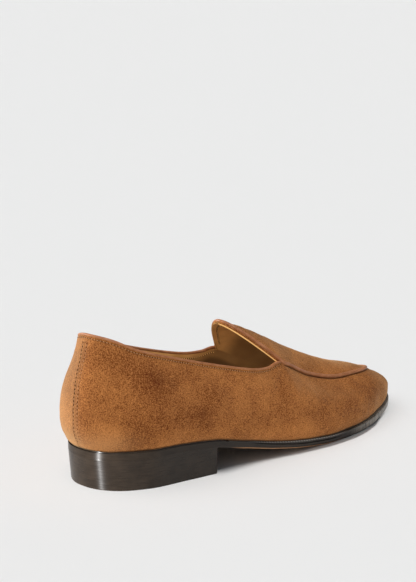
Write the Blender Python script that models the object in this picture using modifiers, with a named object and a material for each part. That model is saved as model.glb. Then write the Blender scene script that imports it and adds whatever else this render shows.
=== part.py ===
"""A suede slip-on loafer, the right shoe, standing empty on its heel and forefoot.

The shoe is worked out from a last: a row of stations goes from the middle of the heel, round one
side and on to the tip of the toe. Each station is a section through the shoe, and the same table
serves the outer side (towards -Y) and the inner side (towards +Y). Toe towards +X, up is +Z.

Run in Blender: blender --background --python part.py
"""

import bmesh
import bpy
import numpy as np

# Sizes in the tables and constants are millimetres and degrees; meshes are made in metres.
MM = 0.001

WALL = 2.2               # suede and lining together
GAP = 0.3                # clearance between pieces that meet
SOLE_THICK = 5.0         # outsole with its welt, from the ground side to the feather line
WELT_THICK = 2.0
WELT_SKIVED = 0.8        # thickness of the welt where it runs out at the heel
WELT_INSIDE = 6.0        # how far the welt reaches in under the upper
WELT_SETBACK = 0.5       # the welt's edge stands back from the outsole's edge
MARGIN = 9.0             # lasting margin of the upper, turned in on the sole
INSOLE_THICK = 2.5
INSOLE_INSET = 2.2       # insole edge inside the feather line
FEATHER_RISE = 55.0      # angle at which the upper leaves the sole
FEATHER_PULL = 0.45      # how far the wall keeps its direction at feather, swell and edge,
SWELL_PULL = 0.5         # as a share of the height or length to the next of them
EDGE_PULL = 0.42
HEEL_TAPER_BACK = 2.2    # heel block narrows towards the floor
HEEL_TAPER_FRONT = 0.2
BREAST_HOLLOW = 3.0      # the heel's front face is hollow in the middle
TONGUE_LENGTH = 29.0     # from the throat corners back to the tongue's tip
TONGUE_RISE = 10.2
TONGUE_ROUND = 0.6       # 0 is a pointed tongue, 1 a half round one
PIPING_WIDTH = 3.0
PIPING_HEIGHT = 1.8
PIPING_INSET = 1.6       # piping's middle inside the free edge of the tongue
BINDING_WIDTH = 3.0
BINDING_HEIGHT = 2.2
MERGE = 0.02             # points closer than this are one point
SHARP = 35.0             # edges bent by more than this stay sharp

# One row for each station. x, y: the station's axis; turn: 0 looks back, 90 sideways, 180 ahead.
# Reach from the axis, outer and inner side: feather (where upper meets sole), swell (how far the
# wall bulges past the feather), edge (collar, and ahead of the throat the apron seam).
# Heights: swell_up above the feather, edge_up above the floor. lean: slope of the wall at its edge.
# crown: height of the instep above the seam; soft: small is a ridge, large a round arch.
# sole_past: how far the outsole stands out past the feather.
COLUMNS = ("x", "y", "turn", "feather_out", "feather_in", "swell_out", "swell_in", "swell_up",
           "edge_out", "edge_in", "edge_up_out", "edge_up_in", "lean", "crown", "soft", "sole_past")
STATIONS = (
    (38, 0.0, 0, 35.5, 35.5, 6.1, 6.1, 18.8, 31.9, 31.9, 94.2, 94.2, 78, 18.0, 0.75, 0.7),
    (38, 0.0, 30, 34.2, 35.5, 5.5, 5.8, 17.0, 29.5, 29.5, 91.9, 90.6, 79, 18.0, 0.75, 0.8),
    (39, 0.0, 60, 32.8, 34.0, 5.0, 5.5, 17.8, 27.0, 24.2, 85.2, 85.6, 77, 18.0, 0.75, 0.8),
    (46, 0.0, 90, 35.0, 32.5, 4.0, 4.0, 18.5, 28.0, 24.5, 78.2, 78.2, 77, 18.0, 0.75, 0.5),
    (78, 0.0, 90, 39.5, 30.5, 3.0, 4.0, 18.0, 32.0, 26.5, 68.5, 68.0, 76, 18.0, 0.75, 0.2),
    (112, 0.0, 90, 42.0, 27.0, 3.0, 5.0, 16.0, 36.0, 28.0, 59.4, 59.0, 74, 18.0, 0.75, 0.0),
    (132, 0.0, 90, 44.0, 27.5, 3.0, 5.0, 15.5, 34.2, 29.3, 56.3, 56.6, 66, 18.0, 0.75, 0.5),
    (149, 0.0, 90, 45.8, 29.2, 3.0, 5.0, 15.0, 31.0, 30.0, 56.6, 56.3, 60, 18.0, 0.75, 1.0),
    (178, 1.0, 90, 48.0, 37.0, 3.0, 4.0, 14.0, 27.0, 29.0, 43.5, 43.0, 50, 16.7, 0.85, 1.8),
    (205, 2.0, 90, 47.0, 43.0, 3.0, 3.0, 13.0, 27.5, 28.0, 36.0, 34.0, 44, 12.8, 0.95, 2.2),
    (228, 3.0, 90, 43.0, 43.0, 3.0, 3.0, 12.0, 27.5, 25.5, 34.4, 29.4, 36, 7.4, 1.0, 2.4),
    (240, 3.5, 98, 37.5, 38.5, 2.5, 3.0, 10.0, 25.5, 20.5, 33.4, 26.4, 30, 5.3, 1.0, 2.4),
    (247, 4.0, 120, 33.1, 34.0, 2.0, 3.0, 8.0, 17.8, 14.2, 31.3, 26.5, 28, 1.8, 1.0, 2.4),
    (250, 4.0, 150, 30.6, 31.3, 2.0, 3.0, 7.5, 10.4, 8.8, 29.8, 28.1, 27, 0.1, 1.0, 2.4),
    (251, 4.0, 180, 30.1, 30.1, 2.5, 2.5, 7.5, 8.0, 8.0, 29.0, 29.0, 27, 0.0, 1.0, 2.4),
)
TABLE = {name: np.array([row[i] for row in STATIONS], float) for i, name in enumerate(COLUMNS)}
TOE = len(STATIONS) - 1.0    # station of the toe's tip
THROAT = 7.0                 # station of the throat corners
BREAST = 4.03                # station of the heel's front face
BREAST_ROW = 0.4             # the last section behind that face stands clear of its hollow
WELT_END = 4.3               # station where the welt runs out
STEP_END = 4.22              # the outsole's rim is at full height up to here
STEP_START = 4.26            # and stepped down for the welt from here
BINDING_END = 6.75           # station where the collar's binding ends
APRON_LOOK = 2.0             # the apron's slope at its seam is taken this many stations back

# Ground side of the sole along the shoe: heel seat, arch, flat of the forefoot, toe spring.
SOLE_X = (0.0, 40.0, 75.0, 100.0, 130.0, 160.0, 186.0, 214.0, 245.0, 270.0, 300.0)
SOLE_UP = (20.0, 19.6, 17.5, 12.2, 5.8, 1.6, 0.0, 0.0, 1.8, 4.4, 9.2)

STEPS = 3                                         # sections between two stations
WALL_ROWS = (0.0, 0.12, 0.24, 0.35, 0.48, 0.62, 0.76, 0.89, 1.0)
SWELL_ROW = 0.35                                  # row of the wall at its widest
APRON_ACROSS = 10
TONGUE_ROWS = (0.86, 0.72, 0.58, 0.45, 0.33, 0.22, 0.11)
HEEL_ACROSS = 6
BEAD_POINTS = 7                                   # points round a half-round bead
NUDGE = 0.02                                      # step across the tongue to find its slope
OUTER, INNER = -1.0, 1.0                          # the two sides of the shoe

COLOURS = {
    "upper": ((0.30, 0.125, 0.040), 0.95),
    "apron_piping": ((0.22, 0.085, 0.035), 0.55),
    "collar_binding": ((0.22, 0.085, 0.035), 0.55),
    "insole": ((0.42, 0.24, 0.08), 0.6),
    "welt": ((0.040, 0.030, 0.024), 0.5),
    "outsole": ((0.035, 0.026, 0.020), 0.45),
    "heel": ((0.040, 0.030, 0.025), 0.3),
}


def smooth(places, values, at, slopes):
    """Cubic curve through the values, with the given slope at each place."""
    i = np.clip(np.searchsorted(places, at, side="right") - 1, 0, len(places) - 2)
    step = places[i + 1] - places[i]
    u = (at - places[i]) / step
    rise = values[i + 1] - values[i]
    bend = (slopes[i] + slopes[i + 1]) * step - 2.0 * rise
    lead = slopes[i] * step
    return values[i] + u * (lead + u * (rise - lead - bend + u * bend))


def column(name, t):
    """A column of the table at station t, smooth between rows and level at heel and toe."""
    values = TABLE[name]
    slopes = np.gradient(values)
    if name != "turn":
        slopes[0] = slopes[-1] = 0.0
    return smooth(np.arange(len(values), dtype=float), values, np.asarray(t, float), slopes)


def side_column(name, t, side):
    """A column that has one value for the outer and one for the inner side."""
    return column(name + ("_out" if side < 0 else "_in"), t)


def sole_bottom(x):
    """Height of the sole's ground side: it never dips below its table, so the flat stays flat."""
    places = np.array(SOLE_X)
    values = np.array(SOLE_UP)
    chords = np.diff(values) / np.diff(places)
    slopes = np.concatenate([chords[:1], np.zeros(len(chords) - 1), chords[-1:]])
    same_way = chords[:-1] * chords[1:] > 0
    mean = 2.0 * chords[:-1] * chords[1:] / np.where(same_way, chords[:-1] + chords[1:], 1.0)
    slopes[1:-1] = np.where(same_way, mean, 0.0)
    return smooth(places, values, np.asarray(x, float), slopes)


def feather_up(x):
    """Height of the feather line, where the upper meets the sole."""
    return sole_bottom(x) + SOLE_THICK


def outward(t, side):
    """Level direction from the station's axis to its side of the shoe."""
    turn = np.radians(column("turn", t))
    return np.stack([-np.cos(turn), side * np.sin(turn), 0.0 * turn], -1)


def at_reach(t, side, reach, up):
    """Points at a reach from the axis; up is a height, or a function of x that gives it."""
    t = np.asarray(t, float)
    axis = np.stack([column("x", t), column("y", t), 0.0 * t], -1)
    points = axis + outward(t, side) * np.broadcast_to(reach, t.shape)[..., None]
    points[..., 2] = up(points[..., 0]) if callable(up) else up
    return points


def feather(t, side, extra=0.0):
    """Reach of the feather line, moved out by extra."""
    return side_column("feather", t, side) + extra


def sole_edge(t, side):
    """Reach of the outsole's edge."""
    return feather(t, side) + column("sole_past", t)


def bezier(points, u):
    """Cubic curve from its four control points."""
    u = np.asarray(u)[..., None]
    a, b, c, d = points
    return a * (1 - u) ** 3 + 3 * b * u * (1 - u) ** 2 + 3 * c * u * u * (1 - u) + d * u ** 3


def edge_rise(t, side):
    """Direction in which the wall arrives at its edge."""
    lean = np.radians(column("lean", t))[..., None]
    return np.array([0.0, 0.0, 1.0]) * np.sin(lean) - outward(t, side) * np.cos(lean)


def edge(t, side):
    """Upper edge of the wall: the collar, then the apron seam."""
    return at_reach(t, side, side_column("edge", t, side), side_column("edge_up", t, side))


def wall(t, side, row):
    """Outer face of the wall from the feather (row 0), over its swell, to its edge (row 1)."""
    t = np.asarray(t, float)
    up = np.array([0.0, 0.0, 1.0])
    rise = np.radians(FEATHER_RISE)
    start = at_reach(t, side, feather(t, side), feather_up)
    swell = at_reach(t, side, feather(t, side) + side_column("swell", t, side), 0.0)
    swell[..., 2] = start[..., 2] + column("swell_up", t)
    end = edge(t, side)
    low = (swell - start)[..., 2:]
    high = (end - swell)[..., 2:]
    span = np.linalg.norm(end - swell, axis=-1, keepdims=True)
    leave = outward(t, side) * np.cos(rise) + up * np.sin(rise)
    if row < SWELL_ROW:
        lower = (start, start + leave * low * FEATHER_PULL, swell - up * low * SWELL_PULL, swell)
        return bezier(lower, np.full(t.shape, row / SWELL_ROW))
    arrive = end - edge_rise(t, side) * span * EDGE_PULL
    upper = (swell, swell + up * high * SWELL_PULL, arrive, end)
    return bezier(upper, np.full(t.shape, (row - SWELL_ROW) / (1.0 - SWELL_ROW)))


def ridge(q, soft):
    """Height from 1 in the middle (q = 0) to 0 at the sides (q = 1), rounded by soft."""
    return 1.0 - (np.hypot(q, soft) - soft) / (np.hypot(1.0, soft) - soft)


def instep(t, across, back=0.0):
    """Top of the shoe at station t; across runs from -1 on the outer seam to 1 on the inner one.

    back carries the section of the throat on towards the heel, for the tongue: 0 to 1.
    """
    outer = edge(t, OUTER)
    inner = edge(t, INNER)
    across = np.asarray(across, float)
    share = (across[..., None] + 1.0) / 2.0
    points = outer * (1.0 - share) + inner * share
    points[..., 2] += column("crown", t) * ridge(np.abs(across), column("soft", t))
    points[..., 0] -= TONGUE_LENGTH * back
    points[..., 2] += TONGUE_RISE * back
    return points


def tongue_back(q):
    """How far back the tongue's free edge is, where the tongue is q wide: 1 at the throat."""
    return ridge(q, TONGUE_ROUND)


def sections(start, end):
    """Stations of the sections from start to end, STEPS to a row of the table, ends included."""
    between = np.arange(np.floor(start * STEPS) + 1.0, np.ceil(end * STEPS)) / STEPS
    return np.concatenate([[start], between, [end]])


def round_shoe(outer, inner):
    """Points along the outer side from heel to toe, then along the inner side back to the heel."""
    return np.concatenate([outer, inner[-2:0:-1]])


def new_object(name, vertices, faces):
    """A named object with its own material, from points in millimetres and faces."""
    mesh = bpy.data.meshes.new(name)
    mesh.from_pydata((np.asarray(vertices) * MM).tolist(), [], faces)
    work = bmesh.new()
    work.from_mesh(mesh)
    bmesh.ops.remove_doubles(work, verts=work.verts, dist=MERGE * MM)
    bmesh.ops.recalc_face_normals(work, faces=work.faces)
    work.to_mesh(mesh)
    work.free()
    mesh.shade_smooth()
    mesh.set_sharp_from_angle(angle=np.radians(SHARP))
    colour, roughness = COLOURS[name]
    material = bpy.data.materials.new(name)
    material.use_nodes = True
    shader = material.node_tree.nodes["Principled BSDF"]
    shader.inputs["Base Color"].default_value = (*colour, 1.0)
    shader.inputs["Roughness"].default_value = roughness
    mesh.materials.append(material)
    return bpy.data.objects.new(name, mesh)


def strip_faces(rows, columns, offset=0, closed_rows=False, closed_columns=False):
    """Four-sided faces of a grid of points stored row by row."""
    faces = []
    for i in range(rows if closed_rows else rows - 1):
        for j in range(columns if closed_columns else columns - 1):
            a = i % rows * columns + j
            b = i % rows * columns + (j + 1) % columns
            c = (i + 1) % rows * columns + (j + 1) % columns
            d = (i + 1) % rows * columns + j
            faces.append((offset + a, offset + b, offset + c, offset + d))
    return faces


def loft(name, rows, closed=False):
    """A solid through closed sections with the same number of points, capped unless it is a ring."""
    count = len(rows)
    size = len(rows[0])
    faces = strip_faces(count, size, closed_rows=closed, closed_columns=True)
    if not closed:
        faces.append(tuple(range(size)))
        faces.append(tuple(range((count - 1) * size, count * size)))
    return new_object(name, np.concatenate(rows), faces)


def plate(name, stations, section):
    """A solid across the whole shoe: section(t, side) gives one side's points at a station.

    The points of the two sides make one closed section, and sections at heel and toe close to an edge.
    """
    rows = []
    for t in stations:
        outer = section(np.array([t]), OUTER)
        inner = section(np.array([t]), INNER)
        rows.append(np.concatenate([outer, inner[::-1]]))
    return loft(name, rows)


def make_upper():
    """Vamp, quarters, apron and tongue: one open surface with a wall of even thickness."""
    stations = sections(0.0, TOE)
    rings = []
    for inset in (MARGIN, MARGIN / 2.0):
        sides = [at_reach(stations, side, feather(stations, side, -inset), feather_up)
                 for side in (OUTER, INNER)]
        rings.append(round_shoe(*sides))
    for row in WALL_ROWS:
        rings.append(round_shoe(wall(stations, OUTER, row), wall(stations, INNER, row)))
    around = len(rings[0])
    vertices = list(np.concatenate(rings))
    faces = strip_faces(len(rings), around, closed_columns=True)

    across = np.linspace(-1.0, 1.0, APRON_ACROSS + 1)
    first = len(vertices)
    rows = [instep(np.full(across.shape, t), across) for t in sections(THROAT, TOE)]
    vertices.extend(np.concatenate(rows))
    faces += strip_faces(len(rows), len(across), first)

    first = len(vertices)
    throat = np.full(across.shape, THROAT)
    rows = [instep(throat, across * q, tongue_back(q)) for q in (1.0, *TONGUE_ROWS, 0.0)]
    vertices.extend(np.concatenate(rows))
    faces += strip_faces(len(rows), len(across), first)

    upper = new_object("upper", vertices, faces)
    thick = upper.modifiers.new("wall", "SOLIDIFY")
    thick.thickness = WALL * MM
    thick.offset = -1.0
    thick.use_even_offset = True
    return upper


def unit(vectors):
    """Vectors of length 1."""
    return vectors / np.linalg.norm(vectors, axis=-1, keepdims=True)


def swept(name, path, up, profile, closed):
    """A bead along a path: profile points are (across, height), height along up."""
    if closed:
        along = np.roll(path, -1, axis=0) - np.roll(path, 1, axis=0)
    else:
        along = np.gradient(path, axis=0)
    across = unit(np.cross(unit(along), up))
    rise = unit(np.cross(across, unit(along)))
    rows = [p + np.outer(profile[:, 0], a) + np.outer(profile[:, 1], r)
            for p, a, r in zip(path, across, rise)]
    return loft(name, rows, closed)


def half_round(width, height):
    """Profile with a flat base and a round top."""
    turn = np.linspace(0.0, np.pi, BEAD_POINTS)
    return np.stack([np.cos(turn) * width / 2.0, np.sin(turn) * height], -1)


def make_piping():
    """Bead that lies on the apron seam and, past the throat, on the tongue just inside its edge."""
    seam = sections(THROAT, TOE)
    paths = []
    normals = []
    for side in (OUTER, INNER):
        line = edge(seam, side)
        along = np.gradient(line, axis=0)
        middle = instep(np.maximum(seam - APRON_LOOK, THROAT), np.zeros(seam.shape))
        wall_out = unit(np.cross(along, edge_rise(seam, side)) * -side)
        apron_out = unit(np.cross(along, middle - line) * -side)
        paths.append(line)
        normals.append(unit(wall_out + apron_out))
    q = np.array((*TONGUE_ROWS, 0.0))
    throat = np.full(q.shape, THROAT)
    for side in (OUTER, INNER):
        half = np.abs(edge(np.array([THROAT]), side)[0, 1])
        inside = np.clip(q - PIPING_INSET / half, 0.0, 1.0)
        back = tongue_back(q) - PIPING_INSET * (1.0 - q) / TONGUE_LENGTH
        across = side * inside
        over = instep(throat, across - NUDGE, back) - instep(throat, across + NUDGE, back)
        spine = np.array([-TONGUE_LENGTH, 0.0, TONGUE_RISE])
        paths.append(instep(throat, across, back))
        normals.append(unit(np.cross(over, spine)))
    loop = np.concatenate([paths[0], paths[1][-2::-1], paths[3][:-1], paths[2][::-1]])
    up = np.concatenate([normals[0], normals[1][-2::-1], normals[3][:-1], normals[2][::-1]])
    up *= np.where(up[:, 2:] < 0.0, -1.0, 1.0)
    return swept("apron_piping", loop + up * GAP, up, half_round(PIPING_WIDTH, PIPING_HEIGHT), True)


def make_binding():
    """Rolled binding that sits on the rim of the collar, from one throat corner round the heel."""
    stations = sections(0.0, BINDING_END)
    sides = []
    for side in (INNER, OUTER):
        rise = edge_rise(stations, side)
        line = edge(stations, side)
        out = unit(np.cross(np.gradient(line, axis=0), rise))
        out *= np.sign(np.sum(out * outward(stations, side), -1))[:, None]
        sides.append((line - out * WALL / 2.0 + rise * GAP, rise))
    path = np.concatenate([sides[0][0][::-1], sides[1][0][1:]])
    up = np.concatenate([sides[0][1][::-1], sides[1][1][1:]])
    return swept("collar_binding", path, up, half_round(BINDING_WIDTH, BINDING_HEIGHT), False)


def welt_depth(t):
    """Thickness of the welt along the shoe: full at the ball, skived where it runs out."""
    full = np.clip((t - WELT_END) / (THROAT - WELT_END), 0.0, 1.0)
    return WELT_SKIVED + (WELT_THICK - WELT_SKIVED) * full


def make_welt():
    """Strip under the upper's edge, from the waist round the toe."""
    stations = sections(WELT_END, TOE)
    rows = []
    for side, order in ((OUTER, slice(None)), (INNER, slice(-2, None, -1))):
        t = stations[order]
        edge_reach = sole_edge(t, side) - WELT_SETBACK
        inside = feather(t, side, -WELT_INSIDE)
        top = [at_reach(t, side, reach, feather_up) for reach in (edge_reach, inside)]
        for points in top:
            points[..., 2] -= GAP
        low = [points - np.array([0.0, 0.0, 1.0]) * welt_depth(t)[:, None] for points in top]
        rows += list(np.stack([top[0], top[1], low[1], low[0]], 1))
    return loft("welt", rows)


def make_outsole():
    """Full-length sole; its rim is stepped down for the welt ahead of the heel."""
    def section(t, side):
        step = np.where(t > STEP_END, welt_depth(t) + GAP, 0.0)[:, None]
        edge_reach = sole_edge(t, side)
        inside = feather(t, side, -WELT_INSIDE - GAP)
        drop = np.array([0.0, 0.0, 1.0])
        edge_top = at_reach(t, side, edge_reach, feather_up) - drop * (GAP + step)
        step_low = at_reach(t, side, inside, feather_up) - drop * (GAP + step)
        step_top = at_reach(t, side, inside, feather_up) - drop * GAP
        ground = at_reach(t, side, edge_reach, sole_bottom)
        return np.concatenate([ground, edge_top, step_low, step_top])

    stations = np.concatenate([sections(0.0, STEP_END), sections(STEP_START, TOE)])
    return plate("outsole", stations, section)


def make_insole():
    """Board on the turned-in margin; its middle is thicker and reaches down to the outsole."""
    def section(t, side):
        rim = feather(t, side, -INSOLE_INSET)
        inside = feather(t, side, -MARGIN - 2.0 * GAP)
        lift = np.array([0.0, 0.0, 1.0])
        low = at_reach(t, side, inside, feather_up)
        shoulder = low + lift * (WALL + GAP)
        rim_low = at_reach(t, side, rim, feather_up) + lift * (WALL + GAP)
        rim_top = rim_low + lift * INSOLE_THICK
        return np.concatenate([low, shoulder, rim_low, rim_top])

    return plate("insole", sections(0.0, TOE), section)


def make_heel():
    """Heel block from the outsole down to the floor, with a hollow front face."""
    stations = sections(0.0, BREAST - BREAST_ROW)
    stations = np.append(stations, BREAST)
    share = np.linspace(0.0, 1.0, HEEL_ACROSS + 1)[:, None]
    rows = []
    for t in stations:
        at = np.array([t])
        taper = np.interp(t, (0.0, BREAST), (HEEL_TAPER_BACK, HEEL_TAPER_FRONT))
        levels = []
        for up, inset in ((sole_bottom, 0.0), (0.0, taper)):
            ends = [at_reach(at, side, sole_edge(at, side) - inset, up) for side in (OUTER, INNER)]
            line = ends[0] * (1.0 - share) + ends[1] * share
            if t == BREAST:
                line[:, 0] -= BREAST_HOLLOW * 4.0 * (share * (1.0 - share))[:, 0]
            levels.append(line)
        levels[0][:, 2] = sole_bottom(levels[0][:, 0]) - GAP
        rows.append(np.concatenate([levels[0], levels[1][::-1]]))
    return loft("heel", rows)


def main():
    """Clear the scene, make the pieces and stand the shoe on the origin."""
    for old in list(bpy.data.objects):
        bpy.data.objects.remove(old)
    shoe = bpy.data.collections.new("loafer")
    bpy.context.scene.collection.children.link(shoe)
    root = bpy.data.objects.new("loafer_root", None)
    shoe.objects.link(root)
    makers = (make_upper, make_piping, make_binding, make_insole, make_welt, make_outsole, make_heel)
    pieces = [make() for make in makers]
    for piece in pieces:
        shoe.objects.link(piece)
        piece.parent = root
    corners = []
    for piece in pieces:
        points = np.array([vertex.co for vertex in piece.data.vertices])
        corners += [points.min(axis=0), points.max(axis=0)]
    low = np.min(corners, axis=0)
    high = np.max(corners, axis=0)
    root.location = (-(low[0] + high[0]) / 2.0, -(low[1] + high[1]) / 2.0, -low[2])


main()
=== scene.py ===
"""Looks of a suede slip-on loafer, built as surfaces round the solids of the shoe.

The shoe is worked out from its last: a row of stations goes from the middle of the heel round one
side to the tip of the toe, and each station is a section through the shoe. Toe towards +X, outer
side towards -Y. Tables and shape functions are in millimetres; meshes are in metres.
"""

from collections import namedtuple

import bmesh
import bpy
import numpy as np
from mathutils import Matrix, Vector


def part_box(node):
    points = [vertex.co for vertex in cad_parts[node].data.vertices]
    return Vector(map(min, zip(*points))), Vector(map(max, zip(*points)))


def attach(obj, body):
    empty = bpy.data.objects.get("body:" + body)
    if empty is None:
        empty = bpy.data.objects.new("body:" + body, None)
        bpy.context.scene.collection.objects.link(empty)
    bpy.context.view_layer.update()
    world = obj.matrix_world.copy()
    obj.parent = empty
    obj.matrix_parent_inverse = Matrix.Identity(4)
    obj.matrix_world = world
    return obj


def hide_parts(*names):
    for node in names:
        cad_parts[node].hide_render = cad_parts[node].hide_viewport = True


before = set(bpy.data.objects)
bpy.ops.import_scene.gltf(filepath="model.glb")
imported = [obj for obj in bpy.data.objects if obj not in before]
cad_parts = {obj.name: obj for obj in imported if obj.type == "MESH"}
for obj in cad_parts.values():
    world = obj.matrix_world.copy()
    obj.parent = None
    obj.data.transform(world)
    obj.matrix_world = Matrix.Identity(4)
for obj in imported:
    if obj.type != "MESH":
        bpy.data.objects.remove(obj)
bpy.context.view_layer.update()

bl_info = {
    "name": "Suede Loafer",
    "version": (1, 0, 0),
    "blender": (4, 5, 0),
    "location": "View3D > Sidebar > Loafer",
    "description": "Makes the suede, linings, trims, stitches and sole of a slip-on loafer",
    "category": "Object",
}

MM = 0.001
OUTER, INNER = -1.0, 1.0
SIDES = (OUTER, INNER)
UP = np.array([0.0, 0.0, 1.0])
UP_VECTOR = Vector((0, 0, 1))
HEELWARDS = Vector((-1, 0, 0))

# Construction of the shoe, in millimetres and degrees.
WALL = 2.2                    # suede and lining together
GAP = 0.3                     # clearance between pieces that meet
SOLE_THICK = 5.0              # outsole with its welt
WELT_THICK = 2.0
WELT_SKIVED = 0.8             # thickness of the welt where it runs out
WELT_INSIDE = 6.0             # how far the welt reaches in under the upper
WELT_SETBACK = 0.5
SEAM_DEEP = 0.5               # shadow line between suede and heel seat: how deep, and its height
SEAM_HIGH = 1.2               # as a share of its depth
SEAT_LINE = 0.05              # line between outsole and heel block
GROOVE_ENDS = (4.7, 5.3, 7.9, 8.7)  # stations where the groove under the welt starts and runs out
OUTER_TOE_LIGHT = (8.6, 9.6)        # stations where the painted light on the toe's edge starts and is full, outside
INNER_TOE_LIGHT = (11.6, 13.0)      # and on the inner side
MARGIN = 9.0                  # upper turned in on the sole
INSOLE_TOP = 5.0              # above the feather line
FEATHER_RISE = 55.0
FEATHER_PULL = 0.45
SWELL_PULL = 0.5
EDGE_PULL = 0.42
HEEL_TAPER_BACK = 2.2
HEEL_TAPER_FRONT = 0.2
BREAST_HOLLOW = 3.0
TONGUE_LENGTH = 29.0
TONGUE_RISE = 10.2
TONGUE_ROUND = 0.6
PIPING_INSET = 1.6
PIPING_FOOT = -0.5            # lower side of the piping, against the suede
CORD_STEP, CORD_SOFT = 0.8, 1.6  # spacing of the piping's sections, and how far its turns are softened
TIP_SINK = 1.6                # the piping lies deeper round the apron's tip
TIP_MIDDLE = 1.2              # where it is deepest, in stations to the outer side of the tip
TIP_LONG = 1.1                # stations over which it rises again
PIPING_LEAN = 0.7             # how far the tongue's piping leans out over its free edge
TONGUE_SPINE = np.array([-TONGUE_LENGTH, 0.0, TONGUE_RISE])
TONGUE_ROW = 3.2              # distance of the tongue's stitches from its free edge
SOCK_THICK = 2.4
SOCK_RIM = 1.6                # height above the insole at which the sock meets the lining
SOCK_TURN = 1.5               # how far its rim is turned up
SOCK_CLEAR = 0.1
SOCK_FLAT = 0.78              # share of its width over which it is flat
LINING_CLEAR = 0.06           # between suede and lining
CUT_EDGE = (0.75, -0.5, 0.3)  # width, foot and top of the tongue's cut edge
CUT_UNDER = 0.5               # how far it lies under the suede
SEWN_SINK = 0.12              # how deep the collar's stitches lie in the suede
SEWN_INSIDE = 0.05            # how far the stitches stand off the lining
TONGUE_INSIDE = 0.08          # and off the tongue's lining
BACK_SINK = 0.16

# One row for each station: axis x, y and turn; reach of the feather, swell and edge on the outer and
# the inner side; height of the swell above the feather and of the edge above the floor; slope of the
# wall at its edge; height and softness of the instep; how far the outsole stands out.
COLUMNS = ("x", "y", "turn", "feather_out", "feather_in", "swell_out", "swell_in", "swell_up",
           "edge_out", "edge_in", "edge_up_out", "edge_up_in", "lean", "crown", "soft", "sole_past")
STATIONS = (
    (38, 0.0, 0, 35.5, 35.5, 6.1, 6.1, 18.8, 31.9, 31.9, 94.2, 94.2, 78, 18.0, 0.75, 0.7),
    (38, 0.0, 30, 34.2, 35.5, 5.5, 5.8, 17.0, 29.5, 29.5, 91.9, 90.6, 79, 18.0, 0.75, 0.8),
    (39, 0.0, 60, 32.8, 34.0, 5.0, 5.5, 17.8, 27.0, 24.2, 85.2, 85.6, 77, 18.0, 0.75, 0.8),
    (46, 0.0, 90, 35.0, 32.5, 4.0, 4.0, 18.5, 28.0, 24.5, 78.2, 78.2, 77, 18.0, 0.75, 0.5),
    (78, 0.0, 90, 39.5, 30.5, 3.0, 4.0, 18.0, 32.0, 26.5, 68.5, 68.0, 76, 18.0, 0.75, 0.2),
    (112, 0.0, 90, 42.0, 27.0, 3.0, 5.0, 16.0, 36.0, 28.0, 59.4, 59.0, 74, 18.0, 0.75, 0.0),
    (132, 0.0, 90, 44.0, 27.5, 3.0, 5.0, 15.5, 34.2, 29.3, 56.3, 56.6, 66, 18.0, 0.75, 0.5),
    (149, 0.0, 90, 45.8, 29.2, 3.0, 5.0, 15.0, 31.0, 30.0, 56.6, 56.3, 60, 18.0, 0.75, 1.0),
    (178, 1.0, 90, 48.0, 37.0, 3.0, 4.0, 14.0, 27.0, 29.0, 43.5, 43.0, 50, 16.7, 0.85, 1.8),
    (205, 2.0, 90, 47.0, 43.0, 3.0, 3.0, 13.0, 27.5, 28.0, 36.0, 34.0, 44, 12.8, 0.95, 2.2),
    (228, 3.0, 90, 43.0, 43.0, 3.0, 3.0, 12.0, 27.5, 25.5, 34.4, 29.4, 36, 7.4, 1.0, 2.4),
    (240, 3.5, 98, 37.5, 38.5, 2.5, 3.0, 10.0, 25.5, 20.5, 33.4, 26.4, 30, 5.3, 1.0, 2.4),
    (247, 4.0, 120, 33.1, 34.0, 2.0, 3.0, 8.0, 17.8, 14.2, 31.3, 26.5, 28, 1.8, 1.0, 2.4),
    (250, 4.0, 150, 30.6, 31.3, 2.0, 3.0, 7.5, 10.4, 8.8, 29.8, 28.1, 27, 0.1, 1.0, 2.4),
    (251, 4.0, 180, 30.1, 30.1, 2.5, 2.5, 7.5, 8.0, 8.0, 29.0, 29.0, 27, 0.0, 1.0, 2.4),
)
TABLE = {name: np.array([row[i] for row in STATIONS], float) for i, name in enumerate(COLUMNS)}
TOE = len(STATIONS) - 1.0
THROAT = 7.0
BREAST = 4.03
BREAST_ROW = 0.4
WELT_END = 4.3
STEP_END = 4.22
STEP_START = 4.26
APRON_LOOK = 2.0
CAD_STEPS = 3                 # sections of the solids between two stations
SWELL_ROW = 0.35

# Ground side of the sole along the shoe.
SOLE_X = (0.0, 40.0, 75.0, 100.0, 130.0, 160.0, 186.0, 214.0, 245.0, 270.0, 300.0)
SOLE_UP = (20.0, 19.6, 17.5, 12.2, 5.8, 1.6, 0.0, 0.0, 1.8, 4.4, 9.2)

# Fineness of the surfaces.
FINE = 21                     # sections between two stations
BACK_SECTIONS = np.arange(1, 9) * 0.02
NEAR_EDGE = np.arange(0.0, 8.5, 0.6)
COLLAR_LIP = (0.8, 0.4)       # suede and lining reach this far up into the binding
TO_FEATHER = 1.0 - np.linspace(1.0, 0.0, 39)[1:] ** 1.5
APRON_ACROSS = np.linspace(-1.0, 1.0, 45)
TONGUE_ROWS = np.linspace(1.0, 0.0, 26) ** 1.5
LINING_STEPS = 12             # sections of lining, insole and card between two stations
LINING_NEAR = np.array([0.0, 1.5, 3.0, 5.0, 8.0])
LINING_DOWN = np.linspace(0.0, 0.985, 34)[1:]
SOCK_ACROSS = np.concatenate([np.linspace(0.0, 0.8, 14), np.linspace(0.8, 1.0, 12)[1:]])
BACK_ROWS = np.linspace(0.01, 0.98, 90)
WELT_STEP = 0.32              # distance between the welt's sections
HEEL_ACROSS = np.linspace(0.0, 1.0, 17)
BINDING_OVAL = (18, 2.2)      # points of the profile and squareness of its corners
PIPING_OVAL = (16, 2.1)
NUDGE = 0.02                  # share of the width over which slopes across the tongue are taken
SOLE_SHARP, HEEL_SHARP = 50.0, 40.0  # corners sharper than this stay hard, in degrees
MERGE = 0.004

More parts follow.
